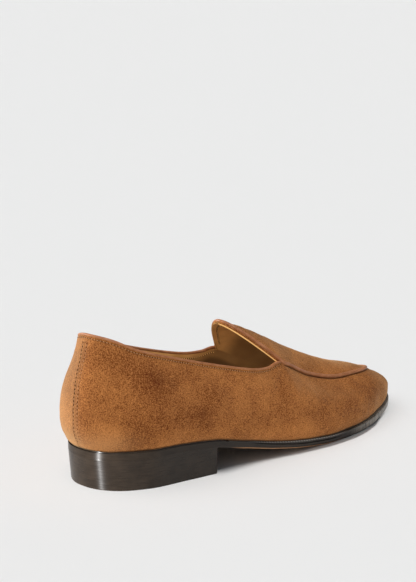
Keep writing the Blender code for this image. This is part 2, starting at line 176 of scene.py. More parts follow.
# Soft troughs (depth above 0) and ridges of the worn-in suede, on the outer and inner wall: from one
# station and distance under the edge to another, with half width and depth.
CREASES = (
    # side, station, under, station, under, width, depth
    (OUTER, 6.75, 5.0, 5.9, 17.0, 3.2, 0.45),
    (OUTER, 7.1, 6.0, 7.0, 20.0, 3.5, -0.30),
    (OUTER, 7.6, 5.0, 7.3, 17.0, 3.0, 0.35),
    (OUTER, 2.6, 6.0, 3.6, 22.0, 5.0, 0.45),
    (OUTER, 4.1, 12.0, 4.9, 26.0, 5.0, 0.40),
    (OUTER, 8.3, 16.0, 9.4, 12.0, 4.0, 0.30),
    (INNER, 6.7, 5.0, 5.8, 18.0, 3.2, 0.45),
    (INNER, 7.3, 6.0, 7.0, 19.0, 3.4, 0.35),
    (INNER, 2.8, 7.0, 3.8, 24.0, 5.0, 0.40),
    (INNER, 8.4, 15.0, 9.3, 11.0, 4.0, 0.30),
)

# Nap's own tone and painted light and shade: x and height of the middle, half length, half height, tone.
NAP_AND_LIGHT_PATCHES = (
    # side, x, up, long, tall, tone
    (OUTER, 29.0, 54.0, 9.0, 26.0, -0.18),
    (OUTER, 31.0, 71.0, 10.0, 7.0, -0.34),
    (OUTER, 19.0, 35.0, 7.0, 13.0, -0.40),
    (OUTER, 45.0, 64.0, 11.0, 7.0, -0.26),
    (OUTER, 63.0, 43.0, 12.0, 8.0, -0.40),
    (OUTER, 40.0, 29.0, 9.0, 7.0, 0.34),
    (OUTER, 92.0, 24.0, 9.0, 7.0, -0.22),
    (OUTER, 3.0, 85.0, 5.0, 10.0, -0.20),
    (OUTER, 5.0, 36.0, 6.0, 10.0, 0.46),
    (OUTER, 16.0, 36.0, 16.0, 9.0, 0.10),
    (OUTER, 50.0, 44.0, 10.0, 6.0, -0.16),
    (OUTER, 98.0, 46.0, 10.0, 11.0, 0.32),
    (OUTER, 126.0, 42.0, 9.0, 9.0, 0.20),
    (OUTER, 124.0, 18.0, 12.0, 5.0, 0.28),
    (OUTER, 136.0, 30.0, 9.0, 8.0, -0.08),
    (OUTER, 160.0, 40.0, 13.0, 6.0, 0.06),
    (OUTER, 186.0, 20.0, 18.0, 8.0, -0.08),
    (OUTER, 150.0, 15.0, 16.0, 5.0, 0.24),
    (OUTER, 228.0, 22.0, 14.0, 8.0, -0.30),
    (OUTER, 128.0, 54.0, 12.0, 5.0, 0.14),
    (OUTER, 190.0, 52.0, 26.0, 7.0, 0.30),
    (OUTER, 222.0, 42.0, 20.0, 5.0, 0.30),
    (OUTER, 76.0, 66.0, 8.0, 5.0, 0.18),
    (OUTER, 146.0, 63.0, 12.0, 6.0, 0.14),
    (INNER, 3.0, 68.0, 9.0, 13.0, -0.24),
    (INNER, 190.0, 52.0, 26.0, 7.0, 0.24),
    (INNER, 222.0, 42.0, 20.0, 5.0, 0.22),
    (INNER, 12.0, 44.0, 18.0, 24.0, 0.18),
    (INNER, 58.0, 60.0, 20.0, 12.0, -0.12),
    (INNER, 92.0, 42.0, 16.0, 9.0, 0.08),
    (INNER, 130.0, 36.0, 14.0, 9.0, -0.10),
    (INNER, 176.0, 28.0, 16.0, 8.0, 0.08),
    (INNER, 232.0, 24.0, 18.0, 8.0, -0.10),
)

# Soft swells of the suede, dents below 0: x and height of the middle, half length and height, size.
SWELLS = (
    (157.0, 71.0, 9.0, 6.0, -0.8),
    (136.0, 79.0, 6.0, 4.5, 0.7),
    (276.0, 24.5, 6.0, 6.0, -0.8),
    (2.0, 26.5, 8.0, 1.8, 0.6),
)

# View of the photograph: its size, where the middle of the shoe lies in it, and the camera's stand.
PHOTO_SIZE = (416, 582)
SHOE_MIDDLE = (150.0, 0.0, 45.0)
SHOE_MIDDLE_PIXEL = (249.1, 371.9)
FOCAL_PIXELS = 1753.0
CAMERA_AZIMUTH = 45.49
CAMERA_PITCH = 12.29
CAMERA_DISTANCE = 1.1655
SENSOR = 36.0

# Card under the arch that shades the floor from the overhead light: its last station, where it is
# widest and by how much, and how far it lies above the sole's ground side.
CARD_END = 13.2
CARD_MIDDLE = 8.5
CARD_SPREAD = 5.0
CARD_LONG = 2.4               # stations over which it is spread
CARD_TAPER = 3.5              # how much narrower it is at its last station
CARD_UP = 1.0

# Bumps of the suede: height and size in millimetres, and the seed of their pattern.
NAP_BUMPS = ((0.05, 6.0, 3), (0.10, 24.0, 5))

# Painted light of the floor's bounce above the feather line: height of the strip and its tone.
# Painted sheen, pale, up the lit back of the heel: from and to across the strip, from and to along
# it, its strength; the low spot and its strength; the most.
FOOT_BOUNCE_LIGHT = (7.0, 0.16)
PALE_ACROSS, PALE_ALONG, PALE_STRIP = (-6.0, 5.0), (3.0, 16.0), 0.24
PALE_PLACE, PALE_SPOT = (4.0, 30.0, 14.0, 8.0), 0.22
PALE_MOST = 0.5

# Lines sunk into the suede: depth in millimetres and strength of the shade painted into its colour along
# them.
SUNK = {
    "sewn": (0.22, 0.3),      # under the collar's stitches
    "tucked": (0.35, 0.9),    # beside the piping
    "joined": (0.15, 0.25),   # back seam
    "rows": (0.22, 0.3),      # on both sides of the back seam
    # The feather line has no depth: its dark line is only painted shade between suede and sole.
    "foot": (0.0, 0.9),       # feather line
}

# Painted shade on the lining, darkening into the shoe: x, or distance under the edge, at which it starts and
# is full.
ROOF_DEEP = (140.0, 155.0)    # under the instep
ROOF_SLANT = 0.35             # further forward on the inner side
ROOF_DARK = 0.72
VAMP_DEEP = (138.0, 150.0)    # walls of the vamp
VAMP_DARK = 0.7
WAIST_DEEP = (90.0, 108.0)    # walls from the waist on
WALL_DEEP = (1.5, 9.0)        # walls below the collar
RIM_DEEP = (-1.0, 3.0)        # and close to the collar, from the waist on

# Stitches, and needle holes made as dark spindles of painted shade: length as a share of the pitch,
# radius, how far the thread bows up, and where the first one lies as a share of the pitch.
Thread = namedtuple("Thread", "share radius lift start", defaults=(0.5,))
COLLAR_THREAD = Thread(0.62, 0.26, 0.12)
COLLAR_HOLE = Thread(0.34, 0.27, 0.05, 1.0)
LINING_THREAD = Thread(0.6, 0.36, 0.25)
LINING_PRICK = Thread(0.5, 0.55, 0.3, 1.0)
TONGUE_THREAD = Thread(0.5, 0.40, 0.36)
TONGUE_PRICK = Thread(0.46, 0.58, 0.36, 1.0)
BACK_PITCH = 2.4
BACK_THREAD = Thread(1.4 / BACK_PITCH, 0.24, 0.1)
BACK_HOLE = Thread(0.5, 0.36, 0.05, 1.0)
WELT_PITCH = 2.8
WELT_THREAD = Thread(0.75, 0.3, 0.12)
WELT_SEWN = 5.6               # station from which the welt's stitches show

# Inked edges: roughness and shine.
WELT_POLISH = (0.3, 0.3)
SOLE_POLISH = (0.26, 0.22)
HEEL_POLISH = (0.23, 0.26)

# Levels of the heel block: share of its height, and how far its section is set in.
HEEL_LEVELS = ((1.0, 0.05), (0.99, 0.0), (0.95, 0.0), (0.7, 0.0), (0.45, 0.0), (0.2, 0.0), (0.035, 0.0),
               (0.03, 0.25), (0.0, 0.3))

# Lamps like suns: place in metres, the group they light, the group that shades it, strength, soft
# angle and colour.
WHITE, WARM = (1.0, 1.0, 1.0), (1.0, 0.995, 0.98)
SUNS = {
    "overhead": ((0.0, 0.0, 3.0), "floor", "card", 1.86, 45.0, WARM),
    "softbox": ((-0.45, 0.15, 1.0), "floor", "shoe", 0.93, 60.0, WARM),
    "key": ((-0.5, 0.85, 0.32), "upper", "shoe", 3.7, 30.0, WHITE),
    "top": ((-0.1, -0.32, 1.0), "shoe", "shoe", 1.8, 60.0, WHITE),
    "fill": ((-0.92, -0.2, 0.34), "upper", "shoe", 0.85, 60.0, WHITE),
    "inside": ((-0.4, -0.75, 0.2), "inside", "card", 1.3, 60.0, WHITE),
    "opening": ((-0.75, -0.35, 0.6), "inside", "shoe", 1.2, 50.0, WHITE),
    "front": ((0.6, -0.7, 0.35), "sole", "shoe", 0.9, 60.0, WHITE),
}
SUN_TARGET = (0.0, 0.0, 0.04)
STRIP_PLACE = (-1.5, -0.05, 0.38)
STRIP_TARGET = (-0.11, 0.0, 0.03)
STRIP_WIDE, STRIP_TALL = 0.05, 0.8
STRIP_WATTS = 94.0
WORLD_COLOUR = (0.93, 0.98, 1.05, 1.0)
WORLD_STRENGTH = 0.15
FLOOR_REACH = 9000.0
CLIP_START, CLIP_END = 0.05, 50.0


# Shape of the last

def smooth(places, values, at, slopes):
    """Cubic curve through the values, with the given slope at each place."""
    i = np.clip(np.searchsorted(places, at, side="right") - 1, 0, len(places) - 2)
    step = places[i + 1] - places[i]
    u = (at - places[i]) / step
    rise = values[i + 1] - values[i]
    bend = (slopes[i] + slopes[i + 1]) * step - 2.0 * rise
    lead = slopes[i] * step
    return values[i] + u * (lead + u * (rise - lead - bend + u * bend))


def column(name, t):
    """A column of the table at station t, smooth between rows and level at heel and toe."""
    values = TABLE[name]
    slopes = np.gradient(values)
    if name != "turn":
        slopes[0] = slopes[-1] = 0.0
    return smooth(np.arange(len(values), dtype=float), values, np.asarray(t, float), slopes)


def side_column(name, t, side):
    """A column that has one value for the outer and one for the inner side."""
    return column(name + ("_out" if side < 0 else "_in"), t)


def sole_bottom(x):
    """Height of the sole's ground side: it never dips below its table, so the flat stays flat."""
    places = np.array(SOLE_X)
    values = np.array(SOLE_UP)
    chords = np.diff(values) / np.diff(places)
    slopes = np.concatenate([chords[:1], np.zeros(len(chords) - 1), chords[-1:]])
    same_way = chords[:-1] * chords[1:] > 0
    mean = 2.0 * chords[:-1] * chords[1:] / np.where(same_way, chords[:-1] + chords[1:], 1.0)
    slopes[1:-1] = np.where(same_way, mean, 0.0)
    return smooth(places, values, np.asarray(x, float), slopes)


def feather_up(x):
    """Height of the feather line, where the upper meets the sole."""
    return sole_bottom(x) + SOLE_THICK


def outward(t, side):
    """Level direction from the station's axis to its side of the shoe."""
    turn = np.radians(column("turn", t))
    return np.stack([-np.cos(turn), side * np.sin(turn), 0.0 * turn], -1)


def at_reach(t, side, reach, up):
    """Points at a reach from the axis; up is a height, or a function of x that gives it."""
    t, reach = np.broadcast_arrays(np.asarray(t, float), reach)
    axis = np.stack([column("x", t), column("y", t), 0.0 * t], -1)
    points = axis + outward(t, side) * reach[..., None]
    points[..., 2] = up(points[..., 0]) if callable(up) else up
    return points


def feather(t, side, extra=0.0):
    """Reach of the feather line, moved out by extra."""
    return side_column("feather", t, side) + extra


def sole_edge(t, side):
    """Reach of the outsole's edge."""
    return feather(t, side) + column("sole_past", t)


def bezier(points, u):
    """Cubic curve from its four control points."""
    u = u[..., None]
    a, b, c, d = points
    return a * (1 - u) ** 3 + 3 * b * u * (1 - u) ** 2 + 3 * c * u * u * (1 - u) + d * u ** 3


def edge_rise(t, side):
    """Direction in which the wall arrives at its edge."""
    lean = np.radians(column("lean", t))[..., None]
    return UP * np.sin(lean) - outward(t, side) * np.cos(lean)


def edge(t, side):
    """Upper edge of the wall: the collar, then the apron seam."""
    return at_reach(t, side, side_column("edge", t, side), side_column("edge_up", t, side))


def wall(t, side, row):
    """Outer face of the wall from the feather (row 0), over its swell, to its edge (row 1).

    Two cubic curves that meet at the swell; stations and rows broadcast against each other.
    """
    t, row = np.broadcast_arrays(np.asarray(t, float), row)
    rise = np.radians(FEATHER_RISE)
    start = at_reach(t, side, feather(t, side), feather_up)
    swell = at_reach(t, side, feather(t, side) + side_column("swell", t, side), 0.0)
    swell[..., 2] = start[..., 2] + column("swell_up", t)
    end = edge(t, side)
    low = (swell - start)[..., 2:]
    high = (end - swell)[..., 2:]
    span = np.linalg.norm(end - swell, axis=-1, keepdims=True)
    leave = start + (outward(t, side) * np.cos(rise) + UP * np.sin(rise)) * low * FEATHER_PULL
    arrive = end - edge_rise(t, side) * span * EDGE_PULL
    lower = bezier((start, leave, swell - UP * low * SWELL_PULL, swell), np.clip(row / SWELL_ROW, 0, 1))
    share = np.clip((row - SWELL_ROW) / (1.0 - SWELL_ROW), 0, 1)
    upper = bezier((swell, swell + UP * high * SWELL_PULL, arrive, end), share)
    return np.where((row < SWELL_ROW)[..., None], lower, upper)


def ridge(q, soft):
    """Height from 1 in the middle (q = 0) to 0 at the sides (q = 1), rounded by soft."""
    return 1.0 - (np.hypot(q, soft) - soft) / (np.hypot(1.0, soft) - soft)


def instep(t, across, back=0.0):
    """Top of the shoe at station t; across runs from -1 on the outer seam to 1 on the inner one.

    back carries the section of the throat on towards the heel, for the tongue: 0 to 1.
    """
    t, across, back = np.broadcast_arrays(np.asarray(t, float), across, back)
    share = (across[..., None] + 1.0) / 2.0
    points = edge(t, OUTER) * (1.0 - share) + edge(t, INNER) * share
    points[..., 2] += column("crown", t) * ridge(np.abs(across), column("soft", t))
    points[..., 0] -= TONGUE_LENGTH * back
    points[..., 2] += TONGUE_RISE * back
    return points


def tongue_back(q):
    """How far back the tongue's free edge is, where the tongue is q wide: 1 at the throat."""
    return ridge(q, TONGUE_ROUND)


def welt_depth(t):
    """Thickness of the welt along the shoe: full at the ball, skived where it runs out."""
    full = np.clip((t - WELT_END) / (THROAT - WELT_END), 0.0, 1.0)
    return WELT_SKIVED + (WELT_THICK - WELT_SKIVED) * full


def groove(t):
    """Depth of the groove between welt and outsole: 1 at the ball, 0 where the edge is flush."""
    start, full, fade, end = GROOVE_ENDS
    return ease(t, start, full) * (1.0 - ease(t, fade, end))


def unit(vectors):
    """Vectors of length 1."""
    return vectors / np.maximum(np.linalg.norm(vectors, axis=-1, keepdims=True), 1e-12)


def bell(distance, width):
    """Bell curve: 1 at distance 0, about a third at one width."""
    return np.exp(-(np.asarray(distance) / width) ** 2)


def ease(value, low, high):
    """Smooth step from 0 at low to 1 at high."""
    u = np.clip((np.asarray(value, float) - low) / (high - low), 0.0, 1.0)
    return u * u * (3.0 - 2.0 * u)


def stations_between(start, end, steps=FINE):
    """Stations from start to end, steps to a row of the table, ends included."""
    between = np.arange(np.floor(start * steps) + 1.0, np.ceil(end * steps)) / steps
    return np.concatenate([[start], between, [end]])


def shoe_offset():
    """Where the table's zero lies in the frame: the outsole's box less that of its own edge line."""
    t = stations_between(0.0, TOE, CAD_STEPS)
    rim = np.concatenate([at_reach(t, side, sole_edge(t, side), sole_bottom) for side in SIDES])
    return np.array(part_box("outsole")[0]) / MM - rim.min(axis=0)


OFFSET = shoe_offset()


# Meshes

# A grid of points with marks for each point; around joins the last column to the first, and ring the
# last row to the first.
Grid = namedtuple("Grid", "points marks around ring", defaults=({}, False, False))


def grid_faces(grid, first):
    """Four-sided faces of a grid whose points are stored row by row, from index first on."""
    rows, columns = grid.points.shape[:2]
    i, j = np.meshgrid(np.arange(rows - (not grid.ring)), np.arange(columns - (not grid.around)),
                       indexing="ij")
    down, right = (i + 1) % rows, (j + 1) % columns
    corners = ((i, j), (i, right), (down, right), (down, j))
    faces = np.stack([down_to * columns + over_to for down_to, over_to in corners], -1)
    return first + faces.reshape(-1, 4)


def make_mesh(name, grids, facing):
    """A mesh from grids in shoe millimetres: doubles merged, faces turned the same way.

    facing is the direction in which the face that lies furthest that way has to look.
    """
    firsts = np.cumsum([0] + [g.points.shape[0] * g.points.shape[1] for g in grids])
    points = np.concatenate([g.points.reshape(-1, 3) for g in grids])
    faces = np.concatenate([grid_faces(g, first) for g, first in zip(grids, firsts)])
    mesh = bpy.data.meshes.new(name)
    mesh.from_pydata(((points + OFFSET) * MM).tolist(), [], faces.tolist())
    for mark in sorted({m for g in grids for m in g.marks}):
        values = [np.broadcast_to(g.marks.get(mark, 0.0), g.points.shape[:2]).ravel() for g in grids]
        layer = mesh.attributes.new(mark, "FLOAT", "POINT")
        layer.data.foreach_set("value", np.concatenate(values).astype(np.float32))
    work = bmesh.new()
    work.from_mesh(mesh)
    bmesh.ops.remove_doubles(work, verts=work.verts, dist=MERGE * MM)
    bmesh.ops.dissolve_degenerate(work, edges=work.edges, dist=MERGE * MM)
    bmesh.ops.recalc_face_normals(work, faces=work.faces)
    outermost = max(work.faces, key=lambda face: face.calc_center_median().dot(facing))
    if outermost.normal.dot(facing) < 0.0:
        bmesh.ops.reverse_faces(work, faces=work.faces)
    work.to_mesh(mesh)
    work.free()
    mesh.shade_smooth()
    return mesh


def mesh_values(mesh, name):
    """Points in shoe millimetres, normals, and one mark of a mesh."""
    count = len(mesh.vertices)
    points = np.zeros(count * 3, np.float32)
    normals = np.zeros(count * 3, np.float32)
    values = np.zeros(count, np.float32)
    mesh.vertices.foreach_get("co", points)
    mesh.vertices.foreach_get("normal", normals)
    mesh.attributes[name].data.foreach_get("value", values)
    return points.reshape(-1, 3) / MM - OFFSET, normals.reshape(-1, 3), values


def set_points(mesh, points):
    """Move the points of a mesh to other places, in shoe millimetres."""
    mesh.vertices.foreach_set("co", ((points + OFFSET) * MM).astype(np.float32).ravel())


def set_mark(mesh, name, values):
    """Store one number for each point of a mesh."""
    layer = mesh.attributes.get(name) or mesh.attributes.new(name, "FLOAT", "POINT")
    layer.data.foreach_set("value", np.asarray(values, np.float32))


def lit_group(name):
    """Collection of the things that a light of that name shines on."""
    return bpy.data.collections.get(name) or bpy.data.collections.new(name)


def add_piece(context, mesh, material, slot, *nodes, sharp=None, thickness=None, group="upper"):
    """Put a mesh in the scene as a piece of the shoe, of the same name, that stands for nodes of the frame.

    group names one more light group that the piece belongs to.
    """
    if sharp is not None:
        mesh.set_sharp_from_angle(angle=np.radians(sharp))
    mesh.materials.append(material)
    piece = bpy.data.objects.new(mesh.name, mesh)
    context.scene.collection.objects.link(piece)
    lit_group("shoe").objects.link(piece)
    lit_group(group).objects.link(piece)
    if thickness is not None:
        solid = piece.modifiers.new("thickness", "SOLIDIFY")
        solid.thickness = thickness * MM
        solid.offset = -1.0
    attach(piece, "root")
    if nodes:
        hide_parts(*nodes)
    return piece


def round_shoe(outer, inner):
    """Columns along the outer side from heel to toe, then along the inner side back to the heel."""
    return np.concatenate([outer, inner[:, -2:0:-1]], axis=1)


def path_length(path):
    """Length along a path up to each of its points."""
    return np.concatenate([[0.0], np.cumsum(np.linalg.norm(np.diff(path, axis=0), axis=-1))])


def along_path(path, at, vectors=None):
    """Points of a path, or vectors given at its points, at lengths along it."""
    length = path_length(path)
    vectors = path if vectors is None else vectors
    return np.stack([np.interp(at, length, vectors[:, i]) for i in range(3)], -1)


def wall_rows(t, side, near, shares):
    """Row of the wall at fixed distances under its edge, then at even shares down to the feather.

    Returns rows and distances, one line for each distance and one column for each station.
    """
    fine = np.linspace(0.0, 1.0, 161)
    points = wall(t[None, :], side, fine[:, None])
    steps = np.linalg.norm(np.diff(points, axis=0), axis=-1)
    under = np.concatenate([np.cumsum(steps[::-1], axis=0)[::-1], np.zeros((1, len(t)))])
    wanted = near[-1] + shares[:, None] * (under[0] - near[-1])
    wanted = np.concatenate([np.repeat(near[:, None], len(t), axis=1), wanted])
    rows = np.stack([np.interp(w, u[::-1], fine[::-1]) for w, u in zip(wanted.T, under.T)], 1)
    return rows, wanted


def oval(width, low, high, points=16, power=2.4):
    """Closed profile, a soft-cornered oval: across by width, from low to high."""
    turn = np.arange(points) * 2.0 * np.pi / points
    c, s = np.cos(turn), np.sin(turn)
    across = np.sign(c) * np.abs(c) ** (2.0 / power) * width / 2.0
    height = (low + high) / 2.0 + np.sign(s) * np.abs(s) ** (2.0 / power) * (high - low) / 2.0
    return np.stack([across, height], -1)


def sweep(path, up, profile, closed):
    """A profile carried along a path: across it and along up, with its ends drawn to a point."""
    if closed:
        ahead = np.roll(path, -1, axis=0) - np.roll(path, 1, axis=0)
    else:
        ahead = np.gradient(path, axis=0)
    across = unit(np.cross(ahead, up))
    rise = unit(np.cross(across, ahead))
    points = (path[:, None] + profile[None, :, :1] * across[:, None] + profile[None, :, 1:] * rise[:, None])
    if not closed:
        middles = points[[0, -1]].mean(axis=1, keepdims=True) + 0.0 * points[[0, -1]]
        points = np.concatenate([middles[:1], points, middles[1:]])
    return Grid(points, {}, True, closed)


def threads(path, normal, pitch, thread):
    """Stitches along a path: spindles of thread that bow up by its lift and dip in at both ends."""
    at = np.arange(pitch * thread.start, path_length(path)[-1] - pitch / 2.0, pitch)
    middle = along_path(path, at)
    up = unit(along_path(path, at, normal))
    ahead = unit(along_path(path, at + 0.1) - along_path(path, at - 0.1))
    beside = np.cross(ahead, up)
    u = np.linspace(-1.0, 1.0, 7)
    turn = np.arange(6) * np.pi / 3.0
    thick = thread.radius * np.sqrt(1.0 - u * u)
    along = u * pitch * thread.share / 2.0
    bow = thread.lift * (1.0 - u * u) - thread.radius * 0.5
    ring_up = bow[:, None] + thick[:, None] * np.sin(turn)
    ring_side = thick[:, None] * np.cos(turn)
    points = (middle[:, None, None] + ahead[:, None, None] * along[:, None, None]
              + up[:, None, None] * ring_up[..., None] + beside[:, None, None] * ring_side[..., None])
    return [Grid(p, {}, True, False) for p in points]


def add_threads(context, name, grids, material, slot="suede", group="upper"):
    """Put stitches or needle holes in the scene as one piece."""
    add_piece(context, make_mesh(name, grids, UP_VECTOR), material, slot, group=group)


def spot(points, x, up, long, tall):
    """Soft ellipse seen from the side: 1 in its middle, about a third at its half length and height."""
    return bell(np.hypot((points[:, 0] - x) / long, (points[:, 2] - up) / tall), 1.0)


def nap_field(points, size, seed, waves=36):
    """Sum of plane waves in random directions: a soft bumpy field about 0, bumps about size across."""
    rng = np.random.default_rng(seed)
    ways = unit(rng.normal(size=(waves, 3))) * (2.0 * np.pi / (size * rng.uniform(0.7, 1.5, (waves, 1))))
    shifts = rng.uniform(0.0, 2.0 * np.pi, waves)
    field = np.zeros(len(points))
    for way, shift in zip(ways, shifts):
        field += np.sin(points @ way + shift)
    return field / np.sqrt(waves)


# Shaders

class Value:
    """A socket of a finish; arithmetic on it adds Math nodes."""

    def __init__(self, finish, socket):
        self.finish = finish
        self.socket = socket

    def math(self, operation, first, second):
        return self.finish.node("ShaderNodeMath", {"operation": operation}, {0: first, 1: second})

    def __add__(self, other):
        return self.math("ADD", self, other)

    def __radd__(self, other):
        return self.math("ADD", other, self)

    def __sub__(self, other):
        return self.math("SUBTRACT", self, other)

    def __rsub__(self, other):
        return self.math("SUBTRACT", other, self)

    def __mul__(self, other):
        return self.math("MULTIPLY", self, other)

    def __rmul__(self, other):
        return self.math("MULTIPLY", other, self)


class Finish:
    """A material made of nodes; fixed numbers go straight onto the shader's own sockets."""

    def __init__(self, name, **fixed):
        self.material = bpy.data.materials.new(name)
        self.material.use_nodes = True
        self.tree = self.material.node_tree
        self.shader = self.tree.nodes["Principled BSDF"]
        for socket, value in fixed.items():
            self.shader.inputs[socket.replace("_", " ").title().replace("Ior", "IOR")].default_value = value
        self.places = self.node("ShaderNodeTexCoord", {}, {}, "Object")

    def node(self, kind, settings, inputs, output=0):
        """Add a node: its settings are set first, then values or links go to its sockets."""
        node = self.tree.nodes.new(kind)
        for name, value in settings.items():
            setattr(node, name, value)
        for name, value in inputs.items():
            if isinstance(value, Value):
                self.tree.links.new(value.socket, node.inputs[name])
            else:
                node.inputs[name].default_value = value
        return Value(self, node.outputs[output])

    def noise(self, size, detail=2.0, places=None):
        """Cloudy noise from 0 to 1, its clouds about size millimetres across."""
        inputs = {"Vector": places or self.places, "Scale": 1.0 / (size * MM), "Detail": detail}
        return self.node("ShaderNodeTexNoise", {}, inputs)

    def stretched(self, x, y, z):
        """Object places stretched along the axes."""
        return self.node("ShaderNodeMapping", {}, {"Vector": self.places, "Scale": (x, y, z)})

    def mark(self, name):
        """A number stored on the points of the piece."""
        return self.node("ShaderNodeAttribute", {"attribute_name": name}, {}, "Fac")

    def step(self, value, low, high):
        """Smooth step from 0 at low to 1 at high."""
        inputs = {"Value": value, "From Min": low, "From Max": high}
        return self.node("ShaderNodeMapRange", {"interpolation_type": "SMOOTHSTEP"}, inputs)

    def blend(self, share, low, high):
        """Colour between low and high."""
        low, high = (c if isinstance(c, Value) else (*c, 1.0) for c in (low, high))
        return self.node("ShaderNodeMix", {"data_type": "RGBA"}, {0: share, 6: low, 7: high}, 2)

    def bump(self, height, depth):
        """Fine relief, depth millimetres for a height of 1."""
        return self.node("ShaderNodeBump", {}, {"Height": height, "Distance": depth * MM, "Strength": 1.0})

    def done(self, **links):
        """Link values to the shader's sockets and give the material."""
        for name, value in links.items():
            self.tree.links.new(value.socket, self.shader.inputs[name.replace("_", " ").title()])
        return self.material


def suede_finish(colours):
    """Suede: a short nap in two tones, brushed lighter and darker, with painted light, sheen and seam shade.
    """
    finish = Finish("suede", sheen_weight=0.32, sheen_roughness=0.4, specular_ior_level=0.1,
                    sheen_tint=(*colours.suede_sheen, 1.0))
    grain = finish.noise(0.68, 1.0)
    clump = finish.noise(4.0, 2.0)
    brushed = finish.noise(19.0, 2.0)
    # The patch mark holds nap tone and painted light and shade.
    tone = 0.5 + (grain - 0.5) * 2.7 + (clump - 0.5) * 0.4 + (brushed - 0.5) * 0.9 + finish.mark("patch")
    colour = finish.blend(finish.step(tone, -0.4, 1.4), colours.suede_dark, colours.suede_light)
    # Painted sheen: the nap blended pale on the lit back of the heel.
    colour = finish.blend(finish.mark("pale"), colour, colours.suede_painted_sheen)
    # Painted shade in the seams, beside the piping, along the stitch lines and along the feather line.
    colour = finish.blend(finish.mark("seam"), colour, colours.seam)
    return finish.done(base_color=colour, roughness=0.86 + clump * 0.12,
                       normal=finish.bump(grain * 0.6 + clump * 0.8, 0.35))


def trim_finish(colours):
    """Smooth calf of binding and piping: satin, fine grain, a little lighter where it is rubbed."""
    finish = Finish("trim_leather", specular_ior_level=0.4)
    cloud = finish.noise(4.0, 3.0)
    grain = finish.noise(0.5, 2.0)
    colour = finish.blend(finish.step(cloud, 0.3, 0.75), colours.trim, colours.trim_rubbed)
    return finish.done(base_color=colour, roughness=0.36 + cloud * 0.2, normal=finish.bump(grain, 0.05))


def lining_finish(colours, name="lining_leather", tone=0.5):
    """Ochre lining leather with pores and soft cloudy tone, and painted shade deeper in the shoe."""
    finish = Finish(name, specular_ior_level=0.4)
    cloud = finish.noise(12.0, 3.0)
    pores = finish.noise(0.7, 2.0)
    share = finish.step(cloud, 0.25, 0.8) * 0.7 + (pores - 0.5) * 0.3 + (tone - 0.4)
    colour = finish.blend(share, colours.lining_dark, colours.lining)
    # Painted shade deep in the shoe, by the deep mark.
    colour = finish.blend(finish.mark("deep"), colour, colours.lining_painted_shade)
    return finish.done(base_color=colour, roughness=0.45 + cloud * 0.2, normal=finish.bump(pores, 0.06))


def cut_edge_finish(colours):
    """Light cut edge of the lining round the tongue."""
    finish = Finish("lining_edge", specular_ior_level=0.3)
    fibre = finish.noise(0.8, 3.0)
    colour = finish.blend(fibre, colours.lining, colours.cut_edge)
    return finish.done(base_color=colour, roughness=0.6 + fibre * 0.2, normal=finish.bump(fibre, 0.08))


def thread_finish(name, colour, dark, shine=0.35):
    """Waxed thread, twisted tones; without shine the shade of a needle hole."""
    finish = Finish(name, specular_ior_level=shine)
    ply = finish.noise(0.5, 2.0)
    return finish.done(base_color=finish.blend(ply, dark, colour), roughness=0.55 + ply * 0.2)


def edge_finish(name, colours, rough, shine):
    """Dark inked leather edge, waxed and ground along its length; painted light at the toe and painted
    highlights on the wheel marks show lighter.
    """
    finish = Finish(name, specular_ior_level=shine, anisotropic=0.95, anisotropic_rotation=0.25)
    cloud = finish.noise(9.0, 3.0)
    marks = finish.noise(1.0, 3.0, finish.stretched(0.12, 0.12, 1.6))
    colour = finish.blend(finish.step(cloud * 0.5 + marks * 0.5, 0.35, 0.7), colours.ink, colours.ink_worn)
    ticks = finish.noise(1.0, 2.0, finish.stretched(1.4, 1.4, 0.15))
    # Painted light on the toe's edge, in streaks like rubbing, by the worn mark.
    worn = finish.mark("worn") * finish.step(ticks, 0.3, 0.65)
    colour = finish.blend(worn, colour, colours.toe_painted_light)
    # Painted highlights on the raised tips of the welt's wheel marks, by the rubbed mark.
    colour = finish.blend(finish.mark("rubbed"), colour, colours.rubbed)
    colour = finish.blend(finish.mark("cut"), colour, colours.sole_leather)
    dull = finish.mark("ground")
    colour = finish.blend(dull, colour, colours.sole_ground)
    return finish.done(base_color=colour, roughness=rough + marks * 0.12 + dull * 0.3,
                       normal=finish.bump(marks + cloud * 0.3, 0.04))


def floor_finish(colours):
    """Plain pale studio floor."""
    finish = Finish("floor", specular_ior_level=0.0)
    finish.shader.inputs["Base Color"].default_value = (*colours.floor, 1.0)
    return finish.material


# What a user would change

def length_prop(name, description, millimetres):
    """A length, kept in metres."""
    return bpy.props.FloatProperty(name=name, description=description, default=millimetres * MM,
                                   min=0.0, precision=5, unit="LENGTH")


def colour_prop(name, description, colour):
    """A linear colour."""
    return bpy.props.FloatVectorProperty(name=name, description=description, default=colour,
                                         subtype="COLOR", size=3, min=0.0, max=1.0)


class LoaferSizes(bpy.types.PropertyGroup):
    """Sizes of the sewn and shaped details."""
    suede: length_prop("Suede", "Thickness of the suede", 1.1)
    lining: length_prop("Lining", "Thickness of the lining leather", 1.0)
    binding_width: length_prop("Binding width", "Width of the rolled binding across the rim", 2.4)
    binding_foot: length_prop("Binding foot", "Height of the binding's lower side above the wall", 0.45)
    binding_top: length_prop("Binding top", "Height of the binding's top above the wall", 2.2)
    piping_width: length_prop("Piping width", "Width of the apron's piping", 2.4)
    piping_height: length_prop("Piping height", "Height of the piping above the suede", 1.8)
    stitch_pitch: length_prop("Stitch pitch", "Distance from stitch to stitch", 2.0)
    stitch_under: length_prop("Stitch line", "Distance of the collar's stitches under the wall's edge", 0.5)
    lining_under: length_prop("Lining stitch line", "Distance of the lining's stitches under the edge", 2.2)
    back_row: length_prop("Back rows", "Distance of the back seam's rows from the middle", 1.75)
    wheel_pitch: length_prop("Wheel marks", "Distance between the marks along the welt", 2.3)


